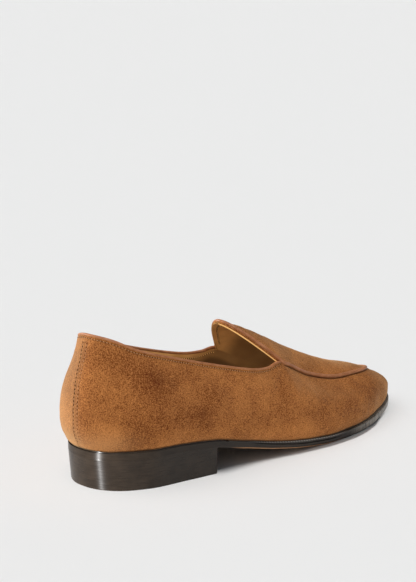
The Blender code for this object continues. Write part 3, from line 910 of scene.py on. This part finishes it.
class LoaferColours(bpy.types.PropertyGroup):
    """Colours of leathers, threads and floor."""
    suede_light: colour_prop("Suede light", "Nap brushed towards the light", (0.552, 0.213, 0.059))
    suede_dark: colour_prop("Suede dark", "Nap brushed away from the light", (0.115, 0.024, 0.004))
    # Painted sheen, pale, on the lit back of the heel.
    suede_painted_sheen: colour_prop("Suede pale", "Nap rubbed pale at the back", (0.52, 0.315, 0.155))
    suede_sheen: colour_prop("Suede sheen", "Tint of the nap's soft shine", (1.0, 0.76, 0.42))
    seam: colour_prop("Seam", "Shade in seams and stitch holes", (0.050, 0.018, 0.006))
    trim: colour_prop("Trim", "Binding and piping", (0.36, 0.130, 0.044))
    trim_rubbed: colour_prop("Trim rubbed", "Binding and piping where they are rubbed", (0.48, 0.200, 0.084))
    lining: colour_prop("Lining", "Lining leather", (0.66, 0.345, 0.115))
    lining_dark: colour_prop("Lining dark", "Darker clouds of the lining", (0.44, 0.208, 0.058))
    # Painted shade: the lining's colour where it lies deep in the shoe.
    lining_painted_shade: colour_prop("Lining deep", "Lining leather deep in the shoe", (0.075, 0.032, 0.008))
    cut_edge: colour_prop("Cut edge", "Cut edge of the tongue's lining", (0.80, 0.47, 0.16))
    thread: colour_prop("Thread", "Stitches on the suede", (0.60, 0.32, 0.14))
    thread_dark: colour_prop("Thread dark", "Shade in the thread's twist", (0.28, 0.12, 0.045))
    welt_thread: colour_prop("Welt thread", "Stitches on the welt", (0.26, 0.21, 0.16))
    ink: colour_prop("Ink", "Inked edges and heel", (0.0100, 0.0068, 0.0045))
    ink_worn: colour_prop("Ink worn", "Inked leather where it is thinner", (0.0180, 0.0125, 0.0085))
    # Painted highlight on the raised tips of the welt's wheel marks.
    rubbed: colour_prop("Rubbed", "Tips of the welt's wheel marks", (0.42, 0.38, 0.34))
    sole_leather: colour_prop("Sole leather", "Cut edge of the sole's ground side", (0.44, 0.23, 0.11))
    sole_ground: colour_prop("Sole ground", "Ground side of the sole", (0.25, 0.175, 0.12))
    floor: colour_prop("Floor", "Studio floor", (0.83, 0.83, 0.83))
    # Painted light on the sole's edge at the toe, in streaks like rubbing.
    toe_painted_light: colour_prop("Rubbed toe", "Edge of the sole where the toe is rubbed", (0.19, 0.165, 0.135))


def sizes_of(context):
    """The sizes in millimetres, by name."""
    group = context.scene.loafer_sizes
    return {name: getattr(group, name) / MM for name in group.__annotations__}


# Upper

def suede_stations():
    """Stations of the suede's sections, closer together at the back seam."""
    return np.unique(np.concatenate([stations_between(0.0, TOE), BACK_SECTIONS]))


def wall_grid(t, near, shares, marks):
    """Wall of the shoe from the edge down to the feather and in under the sole.

    Columns go round the shoe; the marks are the distance under the edge and the station.
    """
    sides, unders = [], []
    collar = 1.0 - ease(t, THROAT - 0.4, THROAT)
    for side in SIDES:
        rows, under = wall_rows(t, side, near, shares)
        lift = np.array(COLLAR_LIP)[:, None] * collar
        points = [edge(t, side) + edge_rise(t, side) * lift[..., None], wall(t[None, :], side, rows)]
        under = np.concatenate([-lift, under])
        for inset in (MARGIN / 2.0, MARGIN):
            points.append(at_reach(t, side, feather(t, side, -inset), feather_up)[None])
            under = np.concatenate([under, under[-1:] + inset])
        sides.append(np.concatenate(points))
        unders.append(under)
    station = np.repeat(t[None, :], len(unders[0]), axis=0)
    values = {"under": round_shoe(*unders), "station": round_shoe(station, station)}
    return Grid(round_shoe(*sides), {m: values[m] for m in marks}, True, False)


def top_grids(t, rows):
    """Apron between its two seams, and the tongue behind it narrowing to its round tip.

    under is the distance to the seam or free edge, below zero on the top.
    """
    t = t[t >= THROAT]
    across = APRON_ACROSS[None, :]
    apron = instep(t[:, None], across)
    tongue = instep(THROAT, across * rows[:, None], tongue_back(rows[:, None]))
    grids = []
    for points, station in ((apron, t[:, None]), (tongue, THROAT)):
        half = np.linalg.norm(points[:, :1] - points[:, -1:], axis=-1) / 2.0
        grids.append(Grid(points, {"under": -half * (1.0 - np.abs(across)), "station": station}))
    return grids


def crease_relief(points, under, station):
    """Sum of soft troughs and ridges, each a bell across a line drawn on the wall."""
    t = stations_between(0.0, TOE)
    relief = np.zeros(len(points))
    for side, t0, under0, t1, under1, width, depth in CREASES:
        length = path_length(edge(t, side))
        along = np.interp(station, t, length)
        start = np.array([np.interp(t0, t, length), under0])
        way = np.array([np.interp(t1, t, length), under1]) - start
        place = np.stack([along, under], -1) - start
        share = np.clip(place @ way / (way @ way), 0.0, 1.0)
        away = np.linalg.norm(place - share[:, None] * way, axis=-1)
        on_side = (points[:, 1] * side > 0.0) & (under > 0.0)
        relief -= depth * bell(away, width) * on_side
    return relief


def nap_and_light_tone(points):
    """Sum of soft ellipses on the outer and inner side, lighter above 0 and darker below: nap tone and
    painted light and shade.
    """
    tone = np.zeros(len(points))
    for side, *place, strength in NAP_AND_LIGHT_PATCHES:
        tone += strength * spot(points, *place) * (points[:, 1] * side > 0.0)
    # Painted bounce light from the floor, in a strip above the feather line.
    width, light = FOOT_BOUNCE_LIGHT
    return tone + light * bell(points[:, 2] - feather_up(points[:, 0]), width)


def painted_sheen(points):
    """Painted sheen, pale: a strip up the inner half of the back and a spot low on the heel."""
    strip = ease(points[:, 1], *PALE_ACROSS) * (1.0 - ease(points[:, 0], *PALE_ALONG))
    return np.clip(PALE_STRIP * strip + PALE_SPOT * spot(points, *PALE_PLACE), 0.0, PALE_MOST)


def suede_relief(points, under, station):
    """Sum of fine and broad bumps away from the edges, creases and swells, in millimetres."""
    bumps = sum(height * nap_field(points, size, seed) for height, size, seed in NAP_BUMPS)
    relief = ease(np.abs(under), 1.0, 5.0) * bumps + crease_relief(points, under, station)
    return relief + sum(size * spot(points, *place) for *place, size in SWELLS)


def sunk_lines(points, under, station, sizes):
    """Bells across the seams and stitch lines of the suede, by name: 1 in the middle of each."""
    x, y, z = points.T
    collar = (1.0 - ease(station, THROAT - 0.15, THROAT)) * (under > -1.0)
    seam = ease(station, THROAT, THROAT + 0.15) * (under > 0.0)
    back = (x < 25.0) * ease(under, 2.0, 4.0)
    return {
        "sewn": collar * bell(under - sizes["stitch_under"], 0.7),
        "tucked": seam * bell(under - sizes["piping_width"] * 0.56, 0.6),
        "joined": back * bell(y, 0.45),
        # The back rows' painted shade is full on the inner side and fainter on the outer side, after how the
        # light falls.
        "rows": back * bell(np.abs(y) - sizes["back_row"], 0.5) * np.where(y > 0.0, 1.0, 0.4),
        "foot": 1.0 - ease(z - feather_up(x), 0.5, 1.5),
    }


class LOAFER_OT_upper(bpy.types.Operator):
    """Suede of vamp, quarters, apron and tongue: the wall's own surface with seams, creases and nap"""
    bl_idname = "loafer.upper"
    bl_label = "Suede upper"

    def execute(self, context):
        sizes = sizes_of(context)
        t = suede_stations()
        grids = [wall_grid(t, NEAR_EDGE, TO_FEATHER, ("under", "station")), *top_grids(t, TONGUE_ROWS)]
        mesh = make_mesh("upper_suede", grids, HEELWARDS)
        points, normals, under = mesh_values(mesh, "under")
        station = mesh_values(mesh, "station")[2]
        lines = sunk_lines(points, under, station, sizes)
        relief = suede_relief(points, under, station)
        relief -= sum(SUNK[name][0] * line for name, line in lines.items())
        set_points(mesh, points + normals * relief[:, None])
        # Painted shade along the sunk lines goes into the seam mark.
        shade = sum(SUNK[name][1] * line for name, line in lines.items())
        set_mark(mesh, "seam", np.clip(shade, 0.0, 1.0))
        # Nap tone with painted light and shade, and the painted bounce light above the feather line.
        set_mark(mesh, "patch", nap_and_light_tone(points))
        # Painted sheen on the back of the heel goes into the pale mark.
        set_mark(mesh, "pale", painted_sheen(points))
        material = suede_finish(context.scene.loafer_colours)
        add_piece(context, mesh, material, "suede", "upper", thickness=sizes["suede"])
        return {"FINISHED"}


def painted_lining_shade(points, under):
    """Smooth steps of painted shade from the collar into the shoe: 0 in the light, more where shade falls on
    the lining.
    """
    x, y = points[:, 0], points[:, 1]
    roof = ROOF_DARK * ease(x - ROOF_SLANT * y, *ROOF_DEEP)
    front = ease(x, *WAIST_DEEP)
    walls = ease(under, *WALL_DEEP) * (0.5 + 0.1 * front) + 0.35 * front * ease(under, *RIM_DEEP)
    walls = np.maximum(walls, VAMP_DARK * ease(x, *VAMP_DEEP))
    return np.where(under < 0.0, roof, walls)


def tongue_line(across, back):
    """A line on the tongue, given by its share across and back, and its normals, which point up."""
    line = instep(THROAT, across, back)
    up = unit(np.cross(TONGUE_SPINE, instep(THROAT, across + NUDGE, back) - line))
    return line, up * np.sign(up[:, 2:])


def tongue_inset(q, side, inset):
    """Share across and back of a line that lies inset from the tongue's free edge."""
    half = np.abs(edge(np.array([THROAT]), side)[0, 1])
    across = side * np.clip(q - inset / half, 0.0, 1.0)
    return across, tongue_back(q) - inset * (1.0 - q) / TONGUE_LENGTH


class LOAFER_OT_lining(bpy.types.Operator):
    """Lining leather: the wall moved in by the suede's thickness, and the cut edge of the tongue"""
    bl_idname = "loafer.lining"
    bl_label = "Lining"

    def execute(self, context):
        sizes = sizes_of(context)
        colours = context.scene.loafer_colours
        t = stations_between(0.0, TOE, LINING_STEPS)
        body = wall_grid(t, LINING_NEAR, LINING_DOWN, ("under",))
        below = {"under": body.marks["under"][:-2]}
        grids = [Grid(body.points[:-2], below, True, False), *top_grids(t, TONGUE_ROWS)]
        mesh = make_mesh("upper_lining", grids, HEELWARDS)
        points, normals, under = mesh_values(mesh, "under")
        set_points(mesh, points - normals * (sizes["suede"] + LINING_CLEAR))
        # Painted shade into the shoe goes into the deep mark.
        set_mark(mesh, "deep", painted_lining_shade(points, under))
        add_piece(context, mesh, lining_finish(colours), "insole_leather",
                  thickness=sizes["lining"], group="inside")

        rows = np.concatenate([TONGUE_ROWS[:-1], TONGUE_ROWS[::-1]])
        side = np.concatenate([-np.ones(len(TONGUE_ROWS) - 1), np.ones(len(TONGUE_ROWS))])
        path, up = tongue_line(side * rows, tongue_back(rows))
        rim = sweep(path - up * (sizes["suede"] + CUT_UNDER), up, oval(*CUT_EDGE), False)
        mesh = make_mesh("tongue_edge", [rim], HEELWARDS)
        add_piece(context, mesh, cut_edge_finish(colours), "insole_leather", group="inside")
        return {"FINISHED"}


# Trims

def collar_line(end):
    """Rim of the collar from the inner throat corner round the heel to the outer one.

    Returns the middle of the rim, its rise and its outward direction.
    """
    t = stations_between(0.0, end)
    parts = []
    for side in (INNER, OUTER):
        rise = edge_rise(t, side)
        line = edge(t, side)
        out = unit(np.cross(np.gradient(line, axis=0), rise))
        out *= np.sign(np.sum(out * outward(t, side), -1))[:, None]
        parts.append((line - out * WALL / 2.0, rise, out))
    return [np.concatenate([a[::-1], b[1:]]) for a, b in zip(*parts)]


def even_loop(path, up, spacing, soften):
    """A closed path at even spacing, softened like a cord that turns no sharp corner."""
    closed = np.concatenate([path, path[:1]])
    ups = np.concatenate([up, up[:1]])
    length = path_length(closed)[-1]
    count = int(length / spacing)
    at = np.arange(count) * length / count
    both = np.concatenate([along_path(closed, at), along_path(closed, at, ups)], axis=1)
    waves = np.fft.fftfreq(count, length / count)
    damp = np.exp(-2.0 * (np.pi * waves * soften) ** 2)[:, None]
    both = np.fft.ifft(np.fft.fft(both, axis=0) * damp, axis=0).real
    return both[:, :3], unit(both[:, 3:])


def piping_line():
    """Loop of the apron seam and, past the throat, of the tongue just inside its free edge."""
    seam = stations_between(THROAT, TOE)
    paths, normals = [], []
    for side in SIDES:
        line = edge(seam, side)
        ahead = np.gradient(line, axis=0)
        middle = instep(np.maximum(seam - APRON_LOOK, THROAT), 0.0)
        wall_out = unit(np.cross(ahead, edge_rise(seam, side)) * -side)
        apron_out = unit(np.cross(ahead, middle - line) * -side)
        normals.append(unit(wall_out + apron_out))
        sink = TIP_SINK * bell((TOE - seam) * side + TIP_MIDDLE, TIP_LONG)
        paths.append(line - normals[-1] * sink[:, None])
    q = TONGUE_ROWS[1:]
    for side in SIDES:
        across, back = tongue_inset(q, side, PIPING_INSET)
        over = instep(THROAT, across - NUDGE, back) - instep(THROAT, across + NUDGE, back)
        normal = unit(np.cross(over, TONGUE_SPINE))
        line = instep(THROAT, across, back)
        away = unit(line - instep(THROAT, 0.6 * across, back - 0.3 * (1.0 - q)))
        paths.append(line)
        normals.append(unit(normal * np.where(normal[:, 2:] < 0.0, -1.0, 1.0) + PIPING_LEAN * away))
    loop, up = (np.concatenate([p[0], p[1][-2::-1], p[3][:-1], p[2][::-1]]) for p in (paths, normals))
    up = up * np.where(up[:, 2:] < 0.0, -1.0, 1.0)
    return even_loop(loop, up, CORD_STEP, CORD_SOFT)


class LOAFER_OT_trims(bpy.types.Operator):
    """Rolled binding of the collar and piping of the apron: soft ovals carried along rim and seam"""
    bl_idname = "loafer.trims"
    bl_label = "Binding and piping"

    def execute(self, context):
        sizes = sizes_of(context)
        material = trim_finish(context.scene.loafer_colours)
        path, rise, _ = collar_line(THROAT)
        profile = oval(sizes["binding_width"], sizes["binding_foot"], sizes["binding_top"], *BINDING_OVAL)
        mesh = make_mesh("collar_binding_roll", [sweep(path, rise, profile, False)], HEELWARDS)
        add_piece(context, mesh, material, "trim_leather", "collar_binding")
        path, up = piping_line()
        profile = oval(sizes["piping_width"], PIPING_FOOT, sizes["piping_height"], *PIPING_OVAL)
        mesh = make_mesh("apron_piping_cord", [sweep(path, up, profile, True)], UP_VECTOR)
        add_piece(context, mesh, material, "trim_leather", "apron_piping")
        return {"FINISHED"}


class LOAFER_OT_stitches(bpy.types.Operator):
    """Stitches: spindles of thread along collar and lining, round the tongue and up the back seam"""
    bl_idname = "loafer.stitches"
    bl_label = "Stitches"

    def execute(self, context):
        sizes = sizes_of(context)
        colours = context.scene.loafer_colours
        pitch = sizes["stitch_pitch"]
        path, rise, out = collar_line(THROAT - 0.1)
        seam = path + out * (WALL / 2.0 - SEWN_SINK) - rise * sizes["stitch_under"]
        tone = (colours.thread, colours.thread_dark)
        sewn = threads(seam, out, pitch, COLLAR_THREAD)
        # Needle holes of the collar: dark spindles of painted shade between the stitches.
        holes = threads(seam, out, pitch, COLLAR_HOLE)
        add_threads(context, "collar_stitches", sewn, thread_finish("thread", *tone))

        inside = path - out * (WALL / 2.0 + SEWN_INSIDE) - rise * sizes["lining_under"]
        sewn = threads(inside, -out, pitch, LINING_THREAD)
        pricks = threads(inside, -out, pitch, LINING_PRICK)
        for side in SIDES:
            line, up = tongue_line(*tongue_inset(TONGUE_ROWS[1:-1], side, TONGUE_ROW))
            row = line - up * (WALL + TONGUE_INSIDE)
            sewn += threads(row, -up, pitch, TONGUE_THREAD)
            pricks += threads(row, -up, pitch, TONGUE_PRICK)
        material = thread_finish("lining_thread", colours.cut_edge, colours.lining_dark)
        add_threads(context, "lining_stitches", sewn, material, "insole_leather", "inside")
        # Pricks: dark spindles of painted shade beside the lining's stitches.
        material = thread_finish("prick_shade", colours.seam, colours.seam, 0.0)
        add_threads(context, "lining_pricks", pricks, material, "insole_leather", "inside")

        # Back seam holes: full painted shade on the inner row, fainter on the outer one, after how the light
        # falls.
        sewn, faint = [], []
        for side, dots in ((OUTER, faint), (INNER, holes)):
            line = wall(np.array([0.0]), side, BACK_ROWS) + np.array([0.02, side * sizes["back_row"], 0.0])
            out = np.cross(np.gradient(line, axis=0), np.array([0.0, 1.0, 0.0]))
            out = unit(out * np.where(out[:, :1] > 0.0, -1.0, 1.0))
            seam = line - out * BACK_SINK
            sewn += threads(seam, out, BACK_PITCH, BACK_THREAD)
            dots += threads(seam, out, BACK_PITCH, BACK_HOLE)
        add_threads(context, "back_stitches", sewn, thread_finish("back_thread", *tone))
        shade = thread_finish("hole_shade", colours.seam, colours.seam, 0.0)
        add_threads(context, "needle_holes", holes, shade)
        shade = thread_finish("faint_shade", colours.suede_dark, colours.seam, 0.0)
        add_threads(context, "faint_holes", faint, shade)
        return {"FINISHED"}


# Sole

class LOAFER_OT_insole(bpy.types.Operator):
    """Insole with its sock: flat in the middle, turned up at its rim until it meets the lining"""
    bl_idname = "loafer.insole"
    bl_label = "Insole"

    def execute(self, context):
        t = stations_between(0.0, TOE, LINING_STEPS)
        fine = np.linspace(0.0, SWELL_ROW, 41)
        share = SOCK_ACROSS[:, None]
        sides = []
        for side in SIDES:
            inside = wall(t[None, :], side, fine[:, None])
            up = inside[..., 2] - feather_up(inside[..., 0])
            rows = np.array([np.interp(INSOLE_TOP + SOCK_RIM, u, fine) for u in up.T])
            rim = wall(t, side, rows)
            axis = at_reach(t, side, 0.0, 0.0)
            reach = np.linalg.norm((rim - axis)[:, :2], axis=-1) - WALL - SOCK_CLEAR
            points = at_reach(t[None, :], side, share * reach, feather_up)
            points[..., 2] += INSOLE_TOP + SOCK_TURN * ease(share, SOCK_FLAT, 1.0)
            sides.append(points)
        mesh = make_mesh("insole_sock", [Grid(s) for s in sides], UP_VECTOR)
        material = lining_finish(context.scene.loafer_colours, "sock_leather", 0.45)
        add_piece(context, mesh, material, "insole_leather", "insole", thickness=SOCK_THICK,
                  group="inside")
        return {"FINISHED"}


def toe_edge_light(t, side):
    """How much painted light the sole's edge has at a station: none at the waist, full at the toe."""
    return ease(t, *(OUTER_TOE_LIGHT if side == OUTER else INNER_TOE_LIGHT))


class LOAFER_OT_welt(bpy.types.Operator):
    """Welt: a strip carried round the forefoot, its edge marked with a wheel, and its stitches"""
    bl_idname = "loafer.welt"
    bl_label = "Welt"

    def execute(self, context):
        sizes = sizes_of(context)
        colours = context.scene.loafer_colours
        t = stations_between(WELT_END, TOE)
        sections, paths, tops = [], [], []
        for side in SIDES:
            line = at_reach(t, side, sole_edge(t, side), feather_up)
            length = path_length(line)
            even = np.arange(0.0, length[-1], WELT_STEP)
            s = np.append(even, length[-1])
            at = np.interp(s, length, t)
            full = groove(at)
            # Painted light on the toe's edge, kept in the worn mark.
            worn = toe_edge_light(at, side)
            reach = sole_edge(at, side) - WELT_SETBACK * full
            deep = welt_depth(at)
            notch = full * (0.5 + 0.5 * np.cos(2.0 * np.pi * (s - length[-1]) / sizes["wheel_pitch"])) ** 2
            inside = feather(at, side, -WELT_INSIDE)
            # Reach, height and painted highlight of each corner, from the inside over the wheeled edge and
            # back.
            profile = (
                (inside, 0.0 * at, 0.0 * at),
                (reach - 1.9, 0.0 * at, 0.0 * at),
                (reach - 1.4, -0.12 * full, 0.0 * at),
                (reach - 0.9, -0.02 * at / TOE, 0.1 * full * (1.0 - notch)),
                (reach - 0.35, -0.03 - 0.22 * notch, 0.55 * full * (1.0 - notch)),
                (reach - 0.06, -0.16 - 0.22 * notch, 0.65 * full * (1.0 - notch)),
                (reach + 0.04, -0.45 - 0.05 * notch, 0.1 * full * (1.0 - notch)),
                (reach, -0.75 * deep, 0.0 * at),
                (reach - 0.3 * full, -deep, 0.0 * at),
                (inside, -deep, 0.0 * at),
            )
            points = np.stack([at_reach(at, side, r, feather_up) + UP * (h - GAP)[:, None]
                               for r, h, _ in profile], 1)
            rubbed = np.stack([m for _, _, m in profile], 1)
            sections.append((points, rubbed, np.repeat(worn[:, None], len(profile), axis=1)))
            paths.append(at_reach(at, side, reach - 1.4, feather_up) - UP * (GAP + 0.1))
            tops.append(at)
        points, rubbed, worn = (np.concatenate([a, b[-2::-1]]) for a, b in zip(*sections))
        ends = points[[0, -1]].mean(axis=1, keepdims=True) + 0.0 * points[[0, -1]]
        points = np.concatenate([ends[:1], points, ends[1:]])
        rubbed, worn = (np.concatenate([m[:1], m, m[-1:]]) for m in (rubbed, worn))
        grid = Grid(points, {"rubbed": rubbed, "worn": worn}, True, False)
        mesh = make_mesh("welt_strip", [grid], -HEELWARDS)
        material = edge_finish("welt_edge", colours, *WELT_POLISH)
        add_piece(context, mesh, material, "welt_leather", "welt", sharp=SOLE_SHARP, group="sole")

        path = np.concatenate([paths[0], paths[1][-2::-1]])
        at = np.concatenate([tops[0], tops[1][-2::-1]])
        path = path[at > WELT_SEWN]
        sewn = threads(path, np.repeat(UP[None], len(path), axis=0), WELT_PITCH, WELT_THREAD)
        material = thread_finish("welt_thread", colours.welt_thread, colours.ink_worn)
        add_threads(context, "welt_stitches", sewn, material, "welt_leather")
        return {"FINISHED"}


class LOAFER_OT_outsole(bpy.types.Operator):
    """Outsole: an edge profile carried round the shoe, closed above and on the ground side"""
    bl_idname = "loafer.outsole"
    bl_label = "Outsole"

    def execute(self, context):
        t = stations_between(0.0, TOE)
        on_welt = ease(t, STEP_END, STEP_START)
        fore = ease(t, WELT_END, WELT_END + 0.5)
        open_edge = groove(t)
        tan = fore * (1.0 - ease(t, *GROOVE_ENDS[2:]))
        step = (welt_depth(t) + GAP) * on_welt
        notch = SEAM_DEEP * (1.0 - ease(t, STEP_END - 0.1, STEP_END))
        rim = step - GAP * on_welt * (1.0 - open_edge) + SEAM_HIGH * notch
        flat = 0.0 * t
        sides, worn = [], []
        for side in SIDES:
            reach = sole_edge(t, side)
            inside = feather(t, side, -WELT_INSIDE - GAP)
            # Reach and depth under the feather line of each corner from the middle out to the edge.
            above = (
                (flat, flat), (inside - 2.0, flat), (inside, flat), (inside, step),
                (reach - 0.7 - notch, step), (reach - 0.6 - notch, rim),
                (reach - 0.12 * open_edge, rim), (reach, rim + 0.2 * open_edge),
            )
            # Reach, height above the ground side and bare leather, from the edge back to the middle.
            below = (
                (reach + 0.08 * fore, 1.6, flat), (reach + 0.05 * fore, 1.0, flat),
                (reach - 0.05 * fore, 0.62, flat), (reach - 0.1 * fore, 0.55, flat),
                (reach - 0.6 * fore, 0.02, flat), (reach - 4.6, 0.0, fore),
                (reach - 5.0, 0.3 * fore, 0.75 * fore), (reach - 5.4, 0.0, fore),
                (reach - 12.0, 0.0, fore), (reach * 0.45, 0.0, fore), (flat, 0.0, fore),
            )
            rows = [at_reach(t, side, r, feather_up) - UP * (GAP + d)[:, None] for r, d in above]
            rows += [at_reach(t, side, r, sole_bottom) + UP * (h + flat)[:, None] for r, h, _ in below]
            sides.append(np.stack(rows))
            ground = np.stack([flat] * len(above) + [g for _, _, g in below])
            # Painted light on the toe's edge, kept in the worn mark.
            worn.append(np.repeat(toe_edge_light(t, side)[None], len(rows), axis=0))
            cut = 0.0 * worn[-1]
            cut[len(above) + 3:len(above) + 5] = tan
        marks = {"ground": round_shoe(ground, ground), "worn": round_shoe(*worn),
                 "cut": round_shoe(cut, cut)}
        mesh = make_mesh("outsole_leather", [Grid(round_shoe(*sides), marks, True, False)], -UP_VECTOR)
        material = edge_finish("sole_edge", context.scene.loafer_colours, *SOLE_POLISH)
        add_piece(context, mesh, material, "sole_leather", "outsole", sharp=SOLE_SHARP,
                  group="sole")
        return {"FINISHED"}


class LOAFER_OT_heel(bpy.types.Operator):
    """Heel block: sections from the seat down to the floor, rounded at its foot, with a hollow front"""
    bl_idname = "loafer.heel"
    bl_label = "Heel"

    def execute(self, context):
        t = stations_between(0.0, BREAST)
        hollow = BREAST_HOLLOW * ease(t, BREAST - BREAST_ROW, BREAST)
        taper = np.interp(t, (0.0, BREAST), (HEEL_TAPER_BACK, HEEL_TAPER_FRONT))
        share = HEEL_ACROSS

        def level(height, inset):
            """Points across the heel at a share of its height, one row for each section."""
            ends = [at_reach(t, side, sole_edge(t, side) - inset - taper * (1.0 - height), 0.0)
                    for side in SIDES]
            line = ends[0][:, None] * (1.0 - share[:, None]) + ends[1][:, None] * share[:, None]
            line[..., 0] -= hollow[:, None] * 4.0 * share * (1.0 - share)
            line[..., 2] = height * (sole_bottom(line[..., 0]) - SEAT_LINE)
            return line

        levels = [level(height, inset) for height, inset in HEEL_LEVELS]
        sides = [np.stack([lv[:, i] for lv in levels], 1) for i in (0, -1)]
        breast = np.stack([lv[-1] for lv in levels], 0)
        grids = [Grid(levels[0]), Grid(levels[-1], {"ground": 0.12}), Grid(sides[0]), Grid(sides[1]),
                 Grid(breast)]
        mesh = make_mesh("heel_block", grids, HEELWARDS)
        material = edge_finish("heel_polish", context.scene.loafer_colours, *HEEL_POLISH)
        add_piece(context, mesh, material, "heel_leather", "heel", sharp=HEEL_SHARP, group="sole")
        return {"FINISHED"}


# Stage

def add_lamp(context, name, kind, place, target, lights, shades, **settings):
    """A soft light from a place to a target, in metres; it shines on one group, another throws shadows."""
    light = bpy.data.lights.new(name, kind)
    for setting, value in settings.items():
        setattr(light, setting, value)
    lamp = bpy.data.objects.new(name, light)
    lamp.location = place
    lamp.rotation_euler = (Vector(target) - Vector(place)).to_track_quat("-Z", "Y").to_euler()
    lamp.light_linking.receiver_collection = lit_group(lights)
    lamp.light_linking.blocker_collection = lit_group(shades)
    context.scene.collection.objects.link(lamp)


def add_stage_piece(context, name, grid, group):
    """A thing of the studio, in a light group of its own."""
    piece = bpy.data.objects.new(name, make_mesh(name, [grid], UP_VECTOR))
    context.scene.collection.objects.link(piece)
    lit_group(group).objects.link(piece)
    return piece


def add_camera(context):
    """Camera that sees the middle of the shoe where it lies in the photograph."""
    camera = bpy.data.cameras.new("camera")
    camera.sensor_width = SENSOR
    camera.lens = FOCAL_PIXELS / max(PHOTO_SIZE) * SENSOR
    camera.clip_start, camera.clip_end = CLIP_START, CLIP_END
    azimuth, pitch = np.radians(CAMERA_AZIMUTH), np.radians(CAMERA_PITCH)
    ahead = Vector((np.sin(azimuth) * np.cos(pitch), np.cos(azimuth) * np.cos(pitch), -np.sin(pitch)))
    right = Vector((np.cos(azimuth), -np.sin(azimuth), 0.0))
    above = right.cross(ahead)
    beside, below = ((at - size / 2.0) / FOCAL_PIXELS for at, size in zip(SHOE_MIDDLE_PIXEL, PHOTO_SIZE))
    middle = Vector((np.array(SHOE_MIDDLE) + OFFSET) * MM)
    stand = bpy.data.objects.new("camera", camera)
    turn = Matrix((right, above, -ahead)).transposed().to_4x4()
    place = middle - (ahead + right * beside - above * below) * CAMERA_DISTANCE
    stand.matrix_world = Matrix.Translation(place) @ turn
    context.scene.collection.objects.link(stand)
    context.scene.camera = stand


class LOAFER_OT_stage(bpy.types.Operator):
    """Pale floor, soft studio light and the camera of the photograph"""
    bl_idname = "loafer.stage"
    bl_label = "Stage"

    def execute(self, context):
        scene = context.scene
        scene.view_settings.view_transform = "Standard"
        reach = np.linspace(-FLOOR_REACH, FLOOR_REACH, 5)
        x, y = np.meshgrid(reach, reach, indexing="ij")
        floor = add_stage_piece(context, "floor", Grid(np.stack([x, y, 0.0 * x], -1) - OFFSET), "floor")
        floor.data.materials.append(floor_finish(scene.loafer_colours))

        t = stations_between(BREAST, CARD_END, LINING_STEPS)
        spread = CARD_SPREAD * bell(t - CARD_MIDDLE, CARD_LONG)
        spread -= CARD_TAPER * ease(t, CARD_MIDDLE, CARD_END) + GAP
        sides = [at_reach(t, side, sole_edge(t, side) + spread, sole_bottom) for side in SIDES]
        card = add_stage_piece(context, "shade_card", Grid(np.stack(sides) + UP * CARD_UP), "card")
        for rays in ("camera", "diffuse", "glossy", "transmission", "volume_scatter"):
            setattr(card, "visible_" + rays, False)

        scene.world = bpy.data.worlds.new("studio")
        scene.world.use_nodes = True
        sky = scene.world.node_tree.nodes["Background"]
        sky.inputs["Color"].default_value = WORLD_COLOUR
        sky.inputs["Strength"].default_value = WORLD_STRENGTH
        for name, (place, lights, shades, energy, angle, colour) in SUNS.items():
            add_lamp(context, name, "SUN", place, SUN_TARGET, lights, shades, energy=energy,
                     angle=np.radians(angle), color=colour)
        add_lamp(context, "strip", "AREA", STRIP_PLACE, STRIP_TARGET, "sole", "shoe", energy=STRIP_WATTS,
                 shape="RECTANGLE", size=STRIP_WIDE, size_y=STRIP_TALL)
        add_camera(context)
        return {"FINISHED"}


class LOAFER_PT_panel(bpy.types.Panel):
    """Lists the loafer's pieces, sizes and colours in the sidebar"""
    bl_idname = "LOAFER_PT_panel"
    bl_label = "Loafer"
    bl_space_type = "VIEW_3D"
    bl_region_type = "UI"
    bl_category = "Loafer"

    def draw(self, context):
        for operator in OPERATORS:
            self.layout.operator(operator.bl_idname)
        for group in (context.scene.loafer_sizes, context.scene.loafer_colours):
            box = self.layout.box()
            for name in group.__annotations__:
                box.prop(group, name)


OPERATORS = (LOAFER_OT_stage, LOAFER_OT_upper, LOAFER_OT_lining, LOAFER_OT_trims, LOAFER_OT_stitches,
             LOAFER_OT_insole, LOAFER_OT_welt, LOAFER_OT_outsole, LOAFER_OT_heel)
CLASSES = (LoaferSizes, LoaferColours, *OPERATORS, LOAFER_PT_panel)


def register():
    """Register the classes and give each scene its sizes and colours."""
    for each in CLASSES:
        bpy.utils.register_class(each)
    bpy.types.Scene.loafer_sizes = bpy.props.PointerProperty(type=LoaferSizes)
    bpy.types.Scene.loafer_colours = bpy.props.PointerProperty(type=LoaferColours)


def unregister():
    """Take the scene's sizes and colours and the classes away again."""
    del bpy.types.Scene.loafer_colours
    del bpy.types.Scene.loafer_sizes
    for each in reversed(CLASSES):
        bpy.utils.unregister_class(each)


def main():
    """Make every piece through its operator."""
    register()
    bpy.ops.loafer.stage()
    bpy.ops.loafer.upper()
    bpy.ops.loafer.lining()
    bpy.ops.loafer.trims()
    bpy.ops.loafer.stitches()
    bpy.ops.loafer.insole()
    bpy.ops.loafer.welt()
    bpy.ops.loafer.outsole()
    bpy.ops.loafer.heel()


if __name__ == "__main__":
    main()
